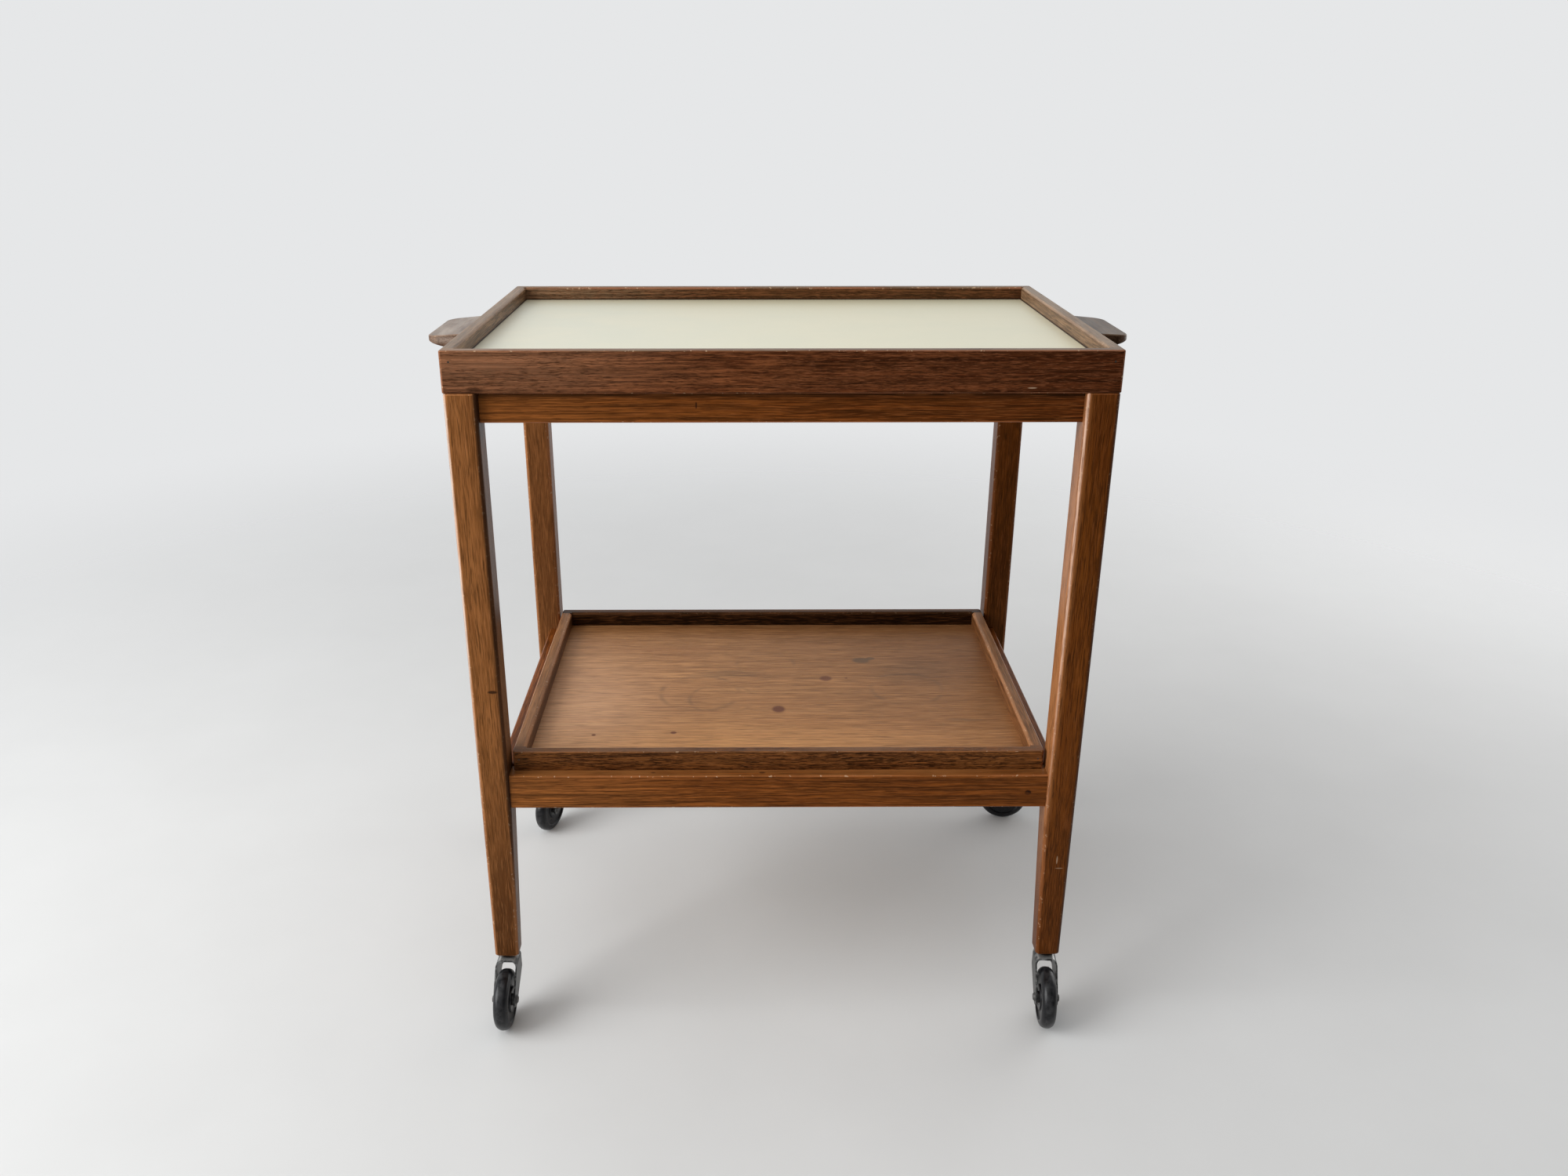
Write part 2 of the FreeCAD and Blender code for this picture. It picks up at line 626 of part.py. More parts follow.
def make_tray():
    make_tray_long_rim("tray_rim_front", FRONT)
    make_tray_long_rim("tray_rim_back", BACK)
    make_tray_end_rim("tray_rim_left", LEFT)
    make_tray_end_rim("tray_rim_right", RIGHT)
    core_x = f"({WELL_X} + groove_depth - core_gap)"
    core_y = f"({WELL_Y} + groove_depth - core_gap)"
    make_board("tray_core", core_x, core_y, "core_thick", f"{LEG_TOP} + {CORE_BASE}")
    make_board("tray_laminate", WELL_X, WELL_Y, "laminate_thick", f"{LEG_TOP} + {CORE_TOP}")
    for name, side in (("left", -1), ("right", 1)):
        make_handle(f"handle_{name}", side)
        make_batten(f"tray_batten_{name}", side)


# Lower shelf

def make_shelf_rim(label, turn):
    """A shelf rim; the long ones run over the ends of the short ones, and all hold the board."""
    body = new_node(label)
    along = turn in (FRONT, BACK)
    side = -1 if turn in (FRONT, LEFT) else 1
    edge = f"{side} * ({SHELF_Y if along else SHELF_X} - shelf_rim_thick / 2)"
    place(body, "0" if along else edge, edge if along else "0", RAIL_TOP, turn)
    half = SHELF_X if along else SHELF_WELL_Y
    if along:
        long_rim_blank(body, half, SHELF_WELL_X, "shelf_rim_thick", "shelf_rim_height",
                       "shelf_rim_corner", "shelf_rim_round", "shelf_rim_inner_round")
    else:
        blank = rim_blank(body, half, "shelf_rim_thick", "shelf_rim_height")
        soften_end_rim(body, blank, "shelf_rim_thick", "shelf_rim_height", "shelf_rim_round",
                       "shelf_rim_inner_round")
    rebate = new_sketch(body, "XY_Plane", "shelf_core_thick")
    rebate_half = f"({SHELF_WELL_X} + rebate_depth)" if along else half
    rectangle(rebate, f"-{rebate_half}", rebate_half, "shelf_rim_thick / 2 - rebate_depth",
              "shelf_rim_thick / 2")
    pocket(body, rebate, "shelf_core_thick")
    pin_radius = "pin_diameter / 2 + wood_fit"
    if along:
        x = f"({SHELF_X} - shelf_pin_inset)"
        drill(body, "XZ_Plane", "0", [(x, "shelf_pin_rise"), (f"-{x}", "shelf_pin_rise")], pin_radius)
        y = "shelf_screw_set - shelf_rim_thick / 2"
        screws = [(SHELF_SCREW_X, y), (f"-{SHELF_SCREW_X}", y)]
        bite = "shelf_screw_bite + wood_fit"
        drill(body, "XY_Plane", "0", screws, "screw_diameter / 2 + wood_fit", bite, True)
    else:
        pin = "shelf_pin_inset - shelf_rim_thick / 2", "shelf_pin_rise"
        depth = "shelf_pin_length - shelf_rim_thick + wood_fit"
        drill(body, "YZ_Plane", half, [pin], pin_radius, depth)
        drill(body, "YZ_Plane", f"-{half}", [pin], pin_radius, depth, True)


def make_shelf():
    for name, turn in (("front", FRONT), ("back", BACK), ("left", LEFT), ("right", RIGHT)):
        make_shelf_rim(f"shelf_rim_{name}", turn)
    core_x = f"({SHELF_WELL_X} + rebate_depth - core_gap)"
    core_y = f"({SHELF_WELL_Y} + rebate_depth - core_gap)"
    make_board("shelf_core", core_x, core_y, "shelf_core_thick", RAIL_TOP)
    veneer_base = f"{RAIL_TOP} + shelf_core_thick"
    make_board("shelf_veneer", SHELF_WELL_X, SHELF_WELL_Y, "shelf_veneer_thick", veneer_base)


# Screws and pins

def group(label, pieces):
    """Several like fasteners as one piece of separate solids."""
    whole = doc.addObject("Part::Compound", label)
    whole.Label = label
    whole.Links = pieces
    nodes.append(whole)


def make_screw(label, length, x, y, z, turn=0.0, axis=(0, 1, 0)):
    """A slotted round-head screw, drawn along +Z with the seat of its head at its origin."""
    body = new_body(label)
    profile = new_sketch(body, "XZ_Plane")
    polygon(profile, ("0", "-screw_head_height"), ("screw_crown_diameter / 2", "-screw_head_height"),
            ("screw_head_diameter / 2", "0"), ("screw_diameter / 2", "0"),
            ("screw_diameter / 2", f"{length} - screw_point"), ("0", length))
    revolve(body, profile, "V_Axis")
    slot = new_sketch(body, "XY_Plane", "-screw_head_height")
    rectangle(slot, "-screw_head_diameter / 2", "screw_head_diameter / 2", "-screw_slot_width / 2",
              "screw_slot_width / 2")
    pocket(body, slot, "screw_slot_depth", upwards=True)
    place(body, x, y, z, turn, axis)
    return body


def make_pin(label, length, x, y, z):
    """A plain pin driven from the front, or from the back when its length runs the other way."""
    pin = doc.addObject("Part::Cylinder", label)
    bind(pin, "Radius", "pin_diameter / 2")
    bind(pin, "Height", length)
    place(pin, x, y, z, -90, (1, 0, 0))
    return pin


def make_fasteners():
    handle_screws = []
    for side, turn in ((-1, -90), (1, 90)):
        for sign in (-1, 1):
            y = f"{sign} * handle_screw_spacing / 2"
            screw = make_screw("handle_screw", "(rim_thick + handle_screw_bite)", f"{side} * {WELL_X}", y,
                               f"{LEG_TOP} + handle_screw_rise", turn)
            handle_screws.append(screw)
    group("handle_screws", handle_screws)

    shelf_screws = []
    length = "(lower_rail_height - counterbore_depth + shelf_screw_bite)"
    for side_y in (-1, 1):
        for side_x in (-1, 1):
            screw = make_screw("shelf_screw", length, f"{side_x} * {SHELF_SCREW_X}",
                               f"{side_y} * {SHELF_SCREW_Y}", f"{RAIL_BASE} + counterbore_depth")
            shelf_screws.append(screw)
    group("shelf_screws", shelf_screws)

    joints = (
        ("tray_rim_pins", "tray_pin_length", "(tray_width / 2 - tray_pin_inset)", "tray_depth / 2",
         f"{TRAY_TOP} - tray_pin_drop"),
        ("shelf_rim_pins", "shelf_pin_length", f"({SHELF_X} - shelf_pin_inset)", SHELF_Y,
         f"{RAIL_TOP} + shelf_pin_rise"),
    )
    for label, length, x, face, z in joints:
        pins = []
        for side_x in (-1, 1):
            pins.append(make_pin("pin", length, f"{side_x} * {x}", f"-({face})", z))
            pins.append(make_pin("pin", length, f"{side_x} * {x}", f"{face} - {length}", z))
        group(label, pins)


# Castors, each drawn with its stem on the Z axis, standing on the floor and trailing towards -Y

def make_socket(label, seat):
    body = new_node(label)
    profile = new_sketch(body, "XZ_Plane")
    bore = "stem_diameter / 2 + running_fit"
    foot = "castor_height"
    polygon(profile, (bore, f"{foot} - socket_flange_thick"),
            ("socket_flange_diameter / 2", f"{foot} - socket_flange_thick"),
            ("socket_flange_diameter / 2", foot), ("socket_diameter / 2", foot),
            ("socket_diameter / 2", f"{foot} + socket_length"), (bore, f"{foot} + socket_length"))
    revolve(body, profile, "V_Axis")
    place(body, *seat)


def make_stem(label, seat):
    """The pintle that turns in the socket, with the collar and the head that clamp the fork."""
    body = new_node(label)
    profile = new_sketch(body, "XZ_Plane")
    shank = "stem_diameter / 2"
    under = f"{CROWN_TOP} - fork_plate"
    collar_top = f"{CROWN_TOP} + stem_collar_height"
    end = "castor_height + socket_length - stem_end_gap"
    polygon(profile, ("0", f"{under} - stem_head_height"),
            ("stem_head_diameter / 2", f"{under} - stem_head_height"), ("stem_head_diameter / 2", under),
            (shank, under), (shank, CROWN_TOP), ("stem_collar_diameter / 2", CROWN_TOP),
            ("stem_collar_diameter / 2", collar_top), (shank, collar_top), (shank, end), ("0", end))
    revolve(body, profile, "V_Axis")
    place(body, *seat)


def tangent_point(corner, centre, radius, side):
    """Where a line from the corner touches the circle, on the side that the sign picks."""
    away = corner - centre
    spread = math.acos(radius / away.Length)
    angle = math.atan2(away.y, away.x) + side * spread
    return centre + FreeCAD.Vector(radius * math.cos(angle), radius * math.sin(angle), 0), angle


def fork_outline(sketch):
    """Side view of the fork: a flat crown, a short web behind it and arms down to the axle."""
    at = lambda x, y: FreeCAD.Vector(measure(x), measure(y), 0)
    back, front = at("crown_back", CROWN_TOP), at("-crown_front", CROWN_TOP)
    web_foot = at("crown_back", f"{CROWN_TOP} - web_height")
    axle = at("-castor_trail", AXLE_Z)
    radius = measure("axle_boss / 2")
    upper, start = tangent_point(front, axle, radius, 1)
    lower, stop = tangent_point(web_foot, axle, radius, -1)
    for first, second in ((back, front), (front, upper), (lower, web_foot), (web_foot, back)):
        sketch.addGeometry(Part.LineSegment(first, second))
    crown, leading, trailing, web = range(4)
    boss = Part.Circle(axle, FreeCAD.Vector(0, 0, 1), radius)
    arc = sketch.addGeometry(Part.ArcOfCircle(boss, start, stop + (2 * math.pi if stop < start else 0)))
    for before, after in ((crown, leading), (trailing, web), (web, crown)):
        sketch.addConstraint(Sketcher.Constraint("Coincident", before, 2, after, 1))
    sketch.addConstraint(Sketcher.Constraint("Tangent", leading, 2, arc, 1))
    sketch.addConstraint(Sketcher.Constraint("Tangent", arc, 2, trailing, 1))
    index = sketch.addConstraint(Sketcher.Constraint("Radius", arc, radius))
    bind(sketch, f"Constraints[{index}]", "axle_boss / 2")
    hold_point(sketch, arc, 3, "-castor_trail", AXLE_Z)
    hold_point(sketch, crown, 1, "crown_back", CROWN_TOP)
    hold_point(sketch, leading, 1, "-crown_front", CROWN_TOP)
    hold_point(sketch, web, 1, "crown_back", f"{CROWN_TOP} - web_height")


def make_fork(label, seat):
    """A pressed-steel fork: crown, web and two arms bent from one plate."""
    body = new_node(label)
    outline = new_sketch(body, "YZ_Plane")
    fork_outline(outline)
    pad(body, outline, f"2 * {FORK_HALF}", symmetric=True)
    channel = new_sketch(body, "YZ_Plane")
    rectangle(channel, "-(castor_trail + axle_boss)", "crown_back - fork_plate", "0",
              f"{CROWN_TOP} - fork_plate")
    folded = pocket(body, channel, "fork_gap", symmetric=True)

    def bends(inset):
        """Test for the edges where the plate's faces meet, at a depth inside its outer faces."""
        side = measure(f"{FORK_HALF} - {inset}")
        back, top = measure(f"crown_back - {inset}"), measure(f"{CROWN_TOP} - {inset}")

        def on_bend(edge):
            on_side = flat_at(edge, "X", side) or flat_at(edge, "X", -side)
            return on_side + flat_at(edge, "Y", back) + flat_at(edge, "Z", top) == 2

        return on_bend

    inside = soften(body, folded, bends("fork_plate"), "fork_bend - fork_plate", grows=True)
    soften(body, inside, bends("0"), "fork_bend")
    drill(body, "YZ_Plane", "0", [("-castor_trail", AXLE_Z)], "axle_diameter / 2 + wood_fit")
    drill(body, "XY_Plane", CROWN_TOP, [("0", "0")], "stem_diameter / 2 + wood_fit", "fork_plate")
    place(body, *seat)


def wheel_sketch(body, half_length):
    sketch = new_sketch(body, "XZ_Plane", "castor_trail")
    spin_axis(sketch, half_length, AXLE_Z)
    return sketch


def make_axle(label, seat):
    """A rivet through both arms of the fork, with a low domed head at each end."""
    body = new_node(label)
    end = f"({FORK_HALF} + axle_head_height)"
    profile = wheel_sketch(body, end)
    head, crown = f"{AXLE_Z} + axle_head_diameter / 2", f"{AXLE_Z} + axle_crown_diameter / 2"
    shank = f"{AXLE_Z} + axle_diameter / 2"
    polygon(profile, (f"-{end}", AXLE_Z), (end, AXLE_Z), (end, crown), (FORK_HALF, head), (FORK_HALF, shank),
            (f"-{FORK_HALF}", shank), (f"-{FORK_HALF}", head), (f"-{end}", crown))
    revolve(body, profile, "Axis0")
    place(body, *seat)


def make_bush(label, seat):
    body = new_node(label)
    half = "(fork_gap / 2 - bush_gap)"
    profile = wheel_sketch(body, half)
    rectangle(profile, f"-{half}", half, f"{AXLE_Z} + axle_diameter / 2 + running_fit",
              f"{AXLE_Z} + bush_diameter / 2")
    revolve(body, profile, "Axis0")
    place(body, *seat)


def make_tyre(label, seat):
    """A solid rubber wheel with a rounded tread and a shallow dish in each side."""
    body = new_node(label)
    half = "wheel_width / 2"
    blank = new_sketch(body, "XZ_Plane", "castor_trail")
    rounded(blank, f"-{half}", half, f"{AXLE_Z} + bush_diameter / 2 + wood_fit", "wheel_diameter", None,
            "tread_round")
    spin_axis(blank, half, AXLE_Z)
    revolve(body, blank, "Axis0")
    dish = wheel_sketch(body, half)
    inner, outer = f"{AXLE_Z} + dish_inner_diameter / 2", f"{AXLE_Z} + dish_outer_diameter / 2"
    rectangle(dish, f"{half} - dish_depth", half, inner, outer)
    rectangle(dish, f"-{half}", f"dish_depth - {half}", inner, outer)
    revolve(body, dish, "Axis0", cut=True)
    place(body, *seat)


def make_castors():
    for front, side_y in (("front", -1), ("back", 1)):
        for left, side_x in (("left", -1), ("right", 1)):
            name = f"{front}_{left}"
            x = f"{side_x} * ({FRAME_X} - foot_width / 2)"
            y = f"{side_y} * ({FRAME_Y} - foot_depth / 2)"
            seat = x, y, "0", measure(f"{name}_angle")
            make_socket(f"castor_socket_{name}", seat)
            make_stem(f"castor_stem_{name}", seat)
            make_fork(f"castor_fork_{name}", seat)
            make_axle(f"castor_axle_{name}", seat)
            make_bush(f"wheel_bush_{name}", seat)
            make_tyre(f"wheel_tyre_{name}", seat)


def check_pieces():
    """Every object has to be sound, and every piece a valid solid, before anything is written."""
    doc.recompute()
    for thing in doc.Objects:
        if {"Invalid", "Error"} & set(thing.State):
            raise RuntimeError(f"{thing.Label} is {thing.State}")
    for node in nodes:
        if node.Shape.isNull() or not node.Shape.isValid() or not node.Shape.Solids:
            raise RuntimeError(f"{node.Label} has no valid solid")


make_frame()
make_tray()
make_shelf()
make_fasteners()
make_castors()
check_pieces()

os.makedirs("parts", exist_ok=True)
box = FreeCAD.BoundBox()
for node in nodes:
    node.Shape.exportStep(f"parts/{node.Label}.step")
    box.add(node.Shape.BoundBox)
print(f"{len(nodes)} pieces, {box.XLength:.1f} x {box.YLength:.1f} x {box.ZLength:.1f} mm")
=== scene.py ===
# %% [markdown]
# # A teak tea trolley
# This lesson dresses a small two-tier trolley: a teak leg frame on castors, a serving tray with a
# pale laminate floor and a rimmed shelf low down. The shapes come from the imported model, which is
# loaded as a fixed frame in metres. Blender adds the finishes, the rubber wheels, the light and the
# camera.

# %% Load the frame
import json
import math

import bmesh
import bpy
from mathutils import Matrix, Vector


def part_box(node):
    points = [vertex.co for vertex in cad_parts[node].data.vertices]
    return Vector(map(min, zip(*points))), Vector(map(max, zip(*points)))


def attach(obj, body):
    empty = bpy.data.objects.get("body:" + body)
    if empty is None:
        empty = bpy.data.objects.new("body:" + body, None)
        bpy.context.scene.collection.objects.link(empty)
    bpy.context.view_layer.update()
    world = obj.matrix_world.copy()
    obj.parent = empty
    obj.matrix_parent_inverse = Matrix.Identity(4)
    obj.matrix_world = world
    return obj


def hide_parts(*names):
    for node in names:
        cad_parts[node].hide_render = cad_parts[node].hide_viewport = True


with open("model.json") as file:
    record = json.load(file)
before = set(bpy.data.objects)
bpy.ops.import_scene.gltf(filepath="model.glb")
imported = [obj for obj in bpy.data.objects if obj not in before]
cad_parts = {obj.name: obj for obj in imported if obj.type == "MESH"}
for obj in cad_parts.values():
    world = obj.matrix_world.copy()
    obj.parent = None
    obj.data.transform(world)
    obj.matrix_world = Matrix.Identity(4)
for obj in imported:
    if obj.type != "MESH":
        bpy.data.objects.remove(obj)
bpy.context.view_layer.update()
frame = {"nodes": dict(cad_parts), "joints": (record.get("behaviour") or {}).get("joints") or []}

# %% [markdown]
# ## Shorthand for shader nodes
# Every finish here is a small network of nodes, because the real surfaces are never one flat
# colour. Nodes can be added by hand in the editor, or in code one long line at a time. A few
# helpers keep the recipes readable: `add` makes a node and wires whatever it is given, `calc` is
# one step of arithmetic, `fade` turns a number into a soft 0 to 1 mask, `tint` mixes two colours
# and `glaze` lays a shade over a colour by a mask. `roughen` and `press` give a surface its uneven
# gloss and its fine relief.

# %% Node helpers
def wire(tree, socket, value):
    if isinstance(value, bpy.types.NodeSocket):
        tree.links.new(value, socket)
    else:
        socket.default_value = value


def add(tree, kind, settings=None, **sockets):
    made = tree.nodes.new("ShaderNode" + kind)
    for key, value in (settings or {}).items():
        setattr(made, key, value)
    for key, value in sockets.items():
        wire(tree, made.inputs[key.replace("_", " ")], value)
    return made


def calc(tree, operation, first, second=0.0):
    made = add(tree, "Math", {"operation": operation})
    wire(tree, made.inputs[0], first)
    wire(tree, made.inputs[1], second)
    return made.outputs[0]


def fade(tree, value, start, stop):
    made = add(tree, "MapRange", {"interpolation_type": "SMOOTHSTEP"}, Value=value)
    made.inputs["From Min"].default_value = start
    made.inputs["From Max"].default_value = stop
    return made.outputs[0]


def tint(tree, factor, first, second, mode="MIX"):
    made = add(tree, "Mix", {"data_type": "RGBA", "blend_type": mode})
    wire(tree, made.inputs[0], factor)
    wire(tree, made.inputs[6], first)
    wire(tree, made.inputs[7], second)
    return made.outputs[2]


def glaze(tree, body, shade, mask, strength):
    """Lays a shade over a colour, as far as a mask and a strength allow."""
    return tint(tree, calc(tree, "MULTIPLY", mask, strength), body, shade)


def vector(tree, operation, *values):
    """One step of arithmetic on points or directions."""
    made = add(tree, "VectorMath", {"operation": operation})
    for socket, value in zip(made.inputs, values):
        wire(tree, socket, value)
    return made.outputs


def roughen(tree, shader, least, mask, swing):
    """Roughness that rises from its least value as a mask does."""
    rough = calc(tree, "ADD", least, calc(tree, "MULTIPLY", mask, swing))
    wire(tree, shader.inputs["Roughness"], rough)


def press(tree, shader, height, strength, depth):
    """Presses a height into the surface as bump."""
    bump = add(tree, "Bump", Strength=strength, Distance=depth, Height=height)
    wire(tree, shader.inputs["Normal"], bump.outputs[0])


def noise(tree, place, scale, detail=4.0, roughness=0.55):
    made = add(tree, "TexNoise", Vector=place, Scale=scale, Detail=detail, Roughness=roughness)
    return made.outputs["Fac"]


def colour(*rgb):
    return (*rgb, 1.0)


def start_finish(name):
    material = bpy.data.materials.new(name)
    material.use_nodes = True
    tree = material.node_tree
    return material, tree, tree.nodes["Principled BSDF"]


def dress(finish, *nodes):
    for node in nodes:
        piece = frame["nodes"][node]
        if not piece.material_slots:
            piece.data.materials.append(finish)
        for slot in piece.material_slots:
            slot.material = finish
    print(f"{finish.name}: {', '.join(nodes)}")


# %% [markdown]
# ## Where the grain runs
# A board's grain runs along its length, so legs, long rails and side rails need the same wood
# turned three ways. A Mapping node turns Object coordinates until the grain lies along its X.
# Squeezing X then stretches any noise into long fibres. Tones and marks are placed in the same
# metres as the model. Tones are wide and soft and shade a board along its length; many of them are
# painted light and painted shade. Marks, such as stains, knots and dents, have firmer edges and lie
# over the finished wood; some of them are thin lines of painted shade.

# %% Grain space and marks
GRAIN_TURN = {"X": (0, 0, 0), "Y": (0, 0, -math.pi / 2), "Z": (0, math.pi / 2, 0)}


def object_place(tree):
    return add(tree, "TexCoord").outputs["Object"]


def mapped(tree, place, location=(0, 0, 0), rotation=(0, 0, 0), scale=(1, 1, 1)):
    made = add(tree, "Mapping", Vector=place, Location=location, Rotation=rotation, Scale=scale)
    return made.outputs[0]


def facing(tree):
    """The x, y and z of the direction that the surface faces."""
    return add(tree, "SeparateXYZ", Vector=add(tree, "TexCoord").outputs["Normal"]).outputs


def arris_mask(tree):
    """1 on rounded edges, where the surface faces between two axes, and 0 on flats."""
    x, y, z = (calc(tree, "ABSOLUTE", part) for part in facing(tree))
    xy, yz, xz = (calc(tree, "MULTIPLY", *pair) for pair in ((x, y), (y, z), (x, z)))
    largest = calc(tree, "MAXIMUM", calc(tree, "MAXIMUM", xy, yz), xz)
    return fade(tree, largest, 0.12, 0.42)


def top_mask(tree):
    """1 where the surface looks up and dust and sunlight fall, 0 where it looks elsewhere."""
    return fade(tree, facing(tree)[2], 0.25, 0.85)


def spot(tree, place, centre, reach, softness=0.5):
    """A soft-edged ellipse on the surface: 1 in its middle and 0 outside its reach, in metres."""
    moved = vector(tree, "SUBTRACT", place, centre)[0]
    scaled = vector(tree, "DIVIDE", moved, reach)[0]
    return fade(tree, vector(tree, "LENGTH", scaled)["Value"], 1.0, softness)


def cup_ring(tree, place, centre, radius, width):
    """The ring that a wet cup leaves: 1 on the ring and 0 away from it, in metres."""
    away = vector(tree, "DISTANCE", place, centre)["Value"]
    off_ring = calc(tree, "ABSOLUTE", calc(tree, "SUBTRACT", away, radius))
    return fade(tree, off_ring, width, 0.0)


# %% [markdown]
# ## Teak
# Teak is an oily brown wood with darker growth streaks, fine fibres and short open pores that read
# as dark flecks. The wood could be one noise in two browns, but it would look like clay. Here
# noises stretched along the grain are laid over each other, from bands as wide as a thumb down to
# flecks a millimetre wide, and the grain wanders a little, as a tree does. Long thin lines are
# overlaid, which adds contrast without making the wood darker on the whole. The pores also press
# into the surface as bump. Oil on brown wood shines brown rather than white, so its highlight gets
# a warm tint. Edges that hands rub are paler.

# %% Teak recipe
OIL_SHINE = colour(1.0, 0.60, 0.28)
# Grey of dust and of painted sheen on the tops
DUST_AND_SHEEN = colour(0.33, 0.25, 0.17)
NICK = colour(0.62, 0.42, 0.26)
SMOKE = (0.120, 0.075, 0.045)
# Cycles per metre of each layer, along the grain and across it
DRIFT, BAND, STREAK, FIBRE = (3.5, 14, 14), (2.5, 30, 30), (9, 180, 180), (38, 640, 640)
CLOUD, RULED, CROWD, DUST_AND_SHEEN_PATCHES = (6, 22, 22), (5, 560, 560), (12, 70, 70), (14, 60, 60)
BAND_SHARE, STREAK_SHARE, FIBRE_SHARE = 0.22, 0.34, 0.44
# How sharply a spot's edge falls off
TONE_EDGE, MARK_EDGE = 0.0, 0.5
NICK_SCALE = 320.0
GLOSS_SWING = 0.18
PORE_BUMP, PORE_DEPTH = 0.25, 0.0003
# Offset of the growth rings' centre, in metres
HEART = (0, 0.13, -0.09)


def wandering_grain(tree, axis, sway=0.010):
    """Grain coordinates whose lines drift sideways by a few millimetres along the board."""
    grain = mapped(tree, object_place(tree), rotation=GRAIN_TURN[axis])
    drift = add(tree, "TexNoise", Vector=mapped(tree, grain, scale=DRIFT), Scale=1.0, Detail=3.0)
    return vector(tree, "MULTIPLY_ADD", drift.outputs["Color"], (0.0, sway, sway), grain)[0]


def stretched(tree, grain, scale, detail, roughness=0.55, location=(0, 0, 0)):
    """Noise drawn out along the grain."""
    return noise(tree, mapped(tree, grain, location=location, scale=scale), 1.0, detail, roughness)


def layered(tree, *layers):
    """Adds masks by weight: each layer is a mask and its share."""
    total = 0.0
    for mask, share in layers:
        total = calc(tree, "ADD", total, calc(tree, "MULTIPLY", mask, share))
    return total


def painted(tree, body, place, spots, softness):
    """Lays soft spots of another shade over a colour."""
    for centre, reach, shade, strength in spots:
        body = glaze(tree, body, colour(*shade), spot(tree, place, centre, reach, softness), strength)
    return body


def teak(name, axis, pale, dark, *, fleck=42.0, fine=1250.0, grit=0.7, lines=0.0, rings=0.0,
         patch=0.3, wear=0.3, rough=0.36, gloss=0.14, bloom_and_sheen=0.0, bloom_and_sheen_shade=DUST_AND_SHEEN, tones=(),
         marks=(), cups=()):
    material, tree, shader = start_finish(name)
    place = object_place(tree)
    grain = wandering_grain(tree, axis)
    band = stretched(tree, grain, BAND, 3.0)
    streak = stretched(tree, grain, STREAK, 4.0, 0.6)
    fibre = stretched(tree, grain, FIBRE, 3.0, 0.6)
    figure = layered(tree, (fade(tree, band, 0.32, 0.68), BAND_SHARE),
                     (fade(tree, streak, 0.34, 0.66), STREAK_SHARE),
                     (fade(tree, fibre, 0.36, 0.64), FIBRE_SHARE))
    if rings:
        growth = add(tree, "TexWave", {"wave_type": "RINGS", "rings_direction": "X"},
                     Vector=mapped(tree, grain, location=HEART, scale=(0.10, 1, 1)), Scale=24.0,
                     Distortion=5.0, Detail=3.0, Detail_Scale=1.2, Detail_Roughness=0.6)
        figure = layered(tree, (figure, 1.0 - rings), (growth.outputs["Fac"], rings))
    body = tint(tree, fade(tree, figure, 0.12, 0.88), dark, pale)
    red = colour(0.62 * pale[0], 0.48 * pale[1], 0.44 * pale[2])
    body = glaze(tree, body, red, fade(tree, stretched(tree, grain, CLOUD, 3.0), 0.42, 0.70), patch)
    body = painted(tree, body, place, tones, TONE_EDGE)
    if lines:
        ruled = stretched(tree, grain, RULED, 3.0, 0.6, location=(1, 4, 2))
        body = tint(tree, lines, body, fade(tree, ruled, 0.30, 0.70), "OVERLAY")
    flecks = (fleck, fine, fine)
    glint = stretched(tree, grain, flecks, 2.0, 0.6, location=(3, 1, 2))
    light = colour(*(1.35 * c + 0.012 for c in pale[:3]))
    body = glaze(tree, body, light, fade(tree, glint, 0.50, 0.66), 0.55 * grit)
    dash = stretched(tree, grain, flecks, 2.0, 0.6)
    crowd = stretched(tree, grain, CROWD, 2.0)
    pores = calc(tree, "MULTIPLY", fade(tree, dash, 0.50, 0.62), fade(tree, crowd, 0.18, 0.48))
    deep = colour(*(0.30 * c for c in dark[:3]))
    body = glaze(tree, body, deep, pores, 0.9 * grit)
    # Dust and painted sheen on the faces that look up
    if bloom_and_sheen:
        dust = fade(tree, stretched(tree, grain, DUST_AND_SHEEN_PATCHES, 4.0), 0.15, 0.70)
        bloom_and_sheen_mask = calc(tree, "MULTIPLY", top_mask(tree), dust)
        body = glaze(tree, body, bloom_and_sheen_shade, bloom_and_sheen_mask, bloom_and_sheen)
    rubbed = calc(tree, "MULTIPLY", arris_mask(tree), fade(tree, crowd, 0.28, 0.60))
    worn = colour(*(min(1.0, 1.7 * c + 0.03) for c in pale[:3]))
    body = glaze(tree, body, worn, rubbed, wear)
    if wear:
        nicks = fade(tree, noise(tree, place, NICK_SCALE, 1.0), 0.64, 0.70)
        body = glaze(tree, body, NICK, calc(tree, "MULTIPLY", arris_mask(tree), nicks), wear)
    body = painted(tree, body, place, marks, MARK_EDGE)
    for centre, radius, width, strength in cups:
        broken = calc(tree, "MULTIPLY", fade(tree, crowd, 0.35, 0.65), strength)
        body = glaze(tree, body, colour(*SMOKE), cup_ring(tree, place, centre, radius, width), broken)
    wire(tree, shader.inputs["Base Color"], body)
    roughen(tree, shader, rough - GLOSS_SWING / 2, fibre, GLOSS_SWING)
    shader.inputs["Specular IOR Level"].default_value = gloss
    shader.inputs["Specular Tint"].default_value = OIL_SHINE
    height = calc(tree, "SUBTRACT", calc(tree, "MULTIPLY", fibre, 0.5), pores)
    press(tree, shader, height, PORE_BUMP, PORE_DEPTH)
    return material
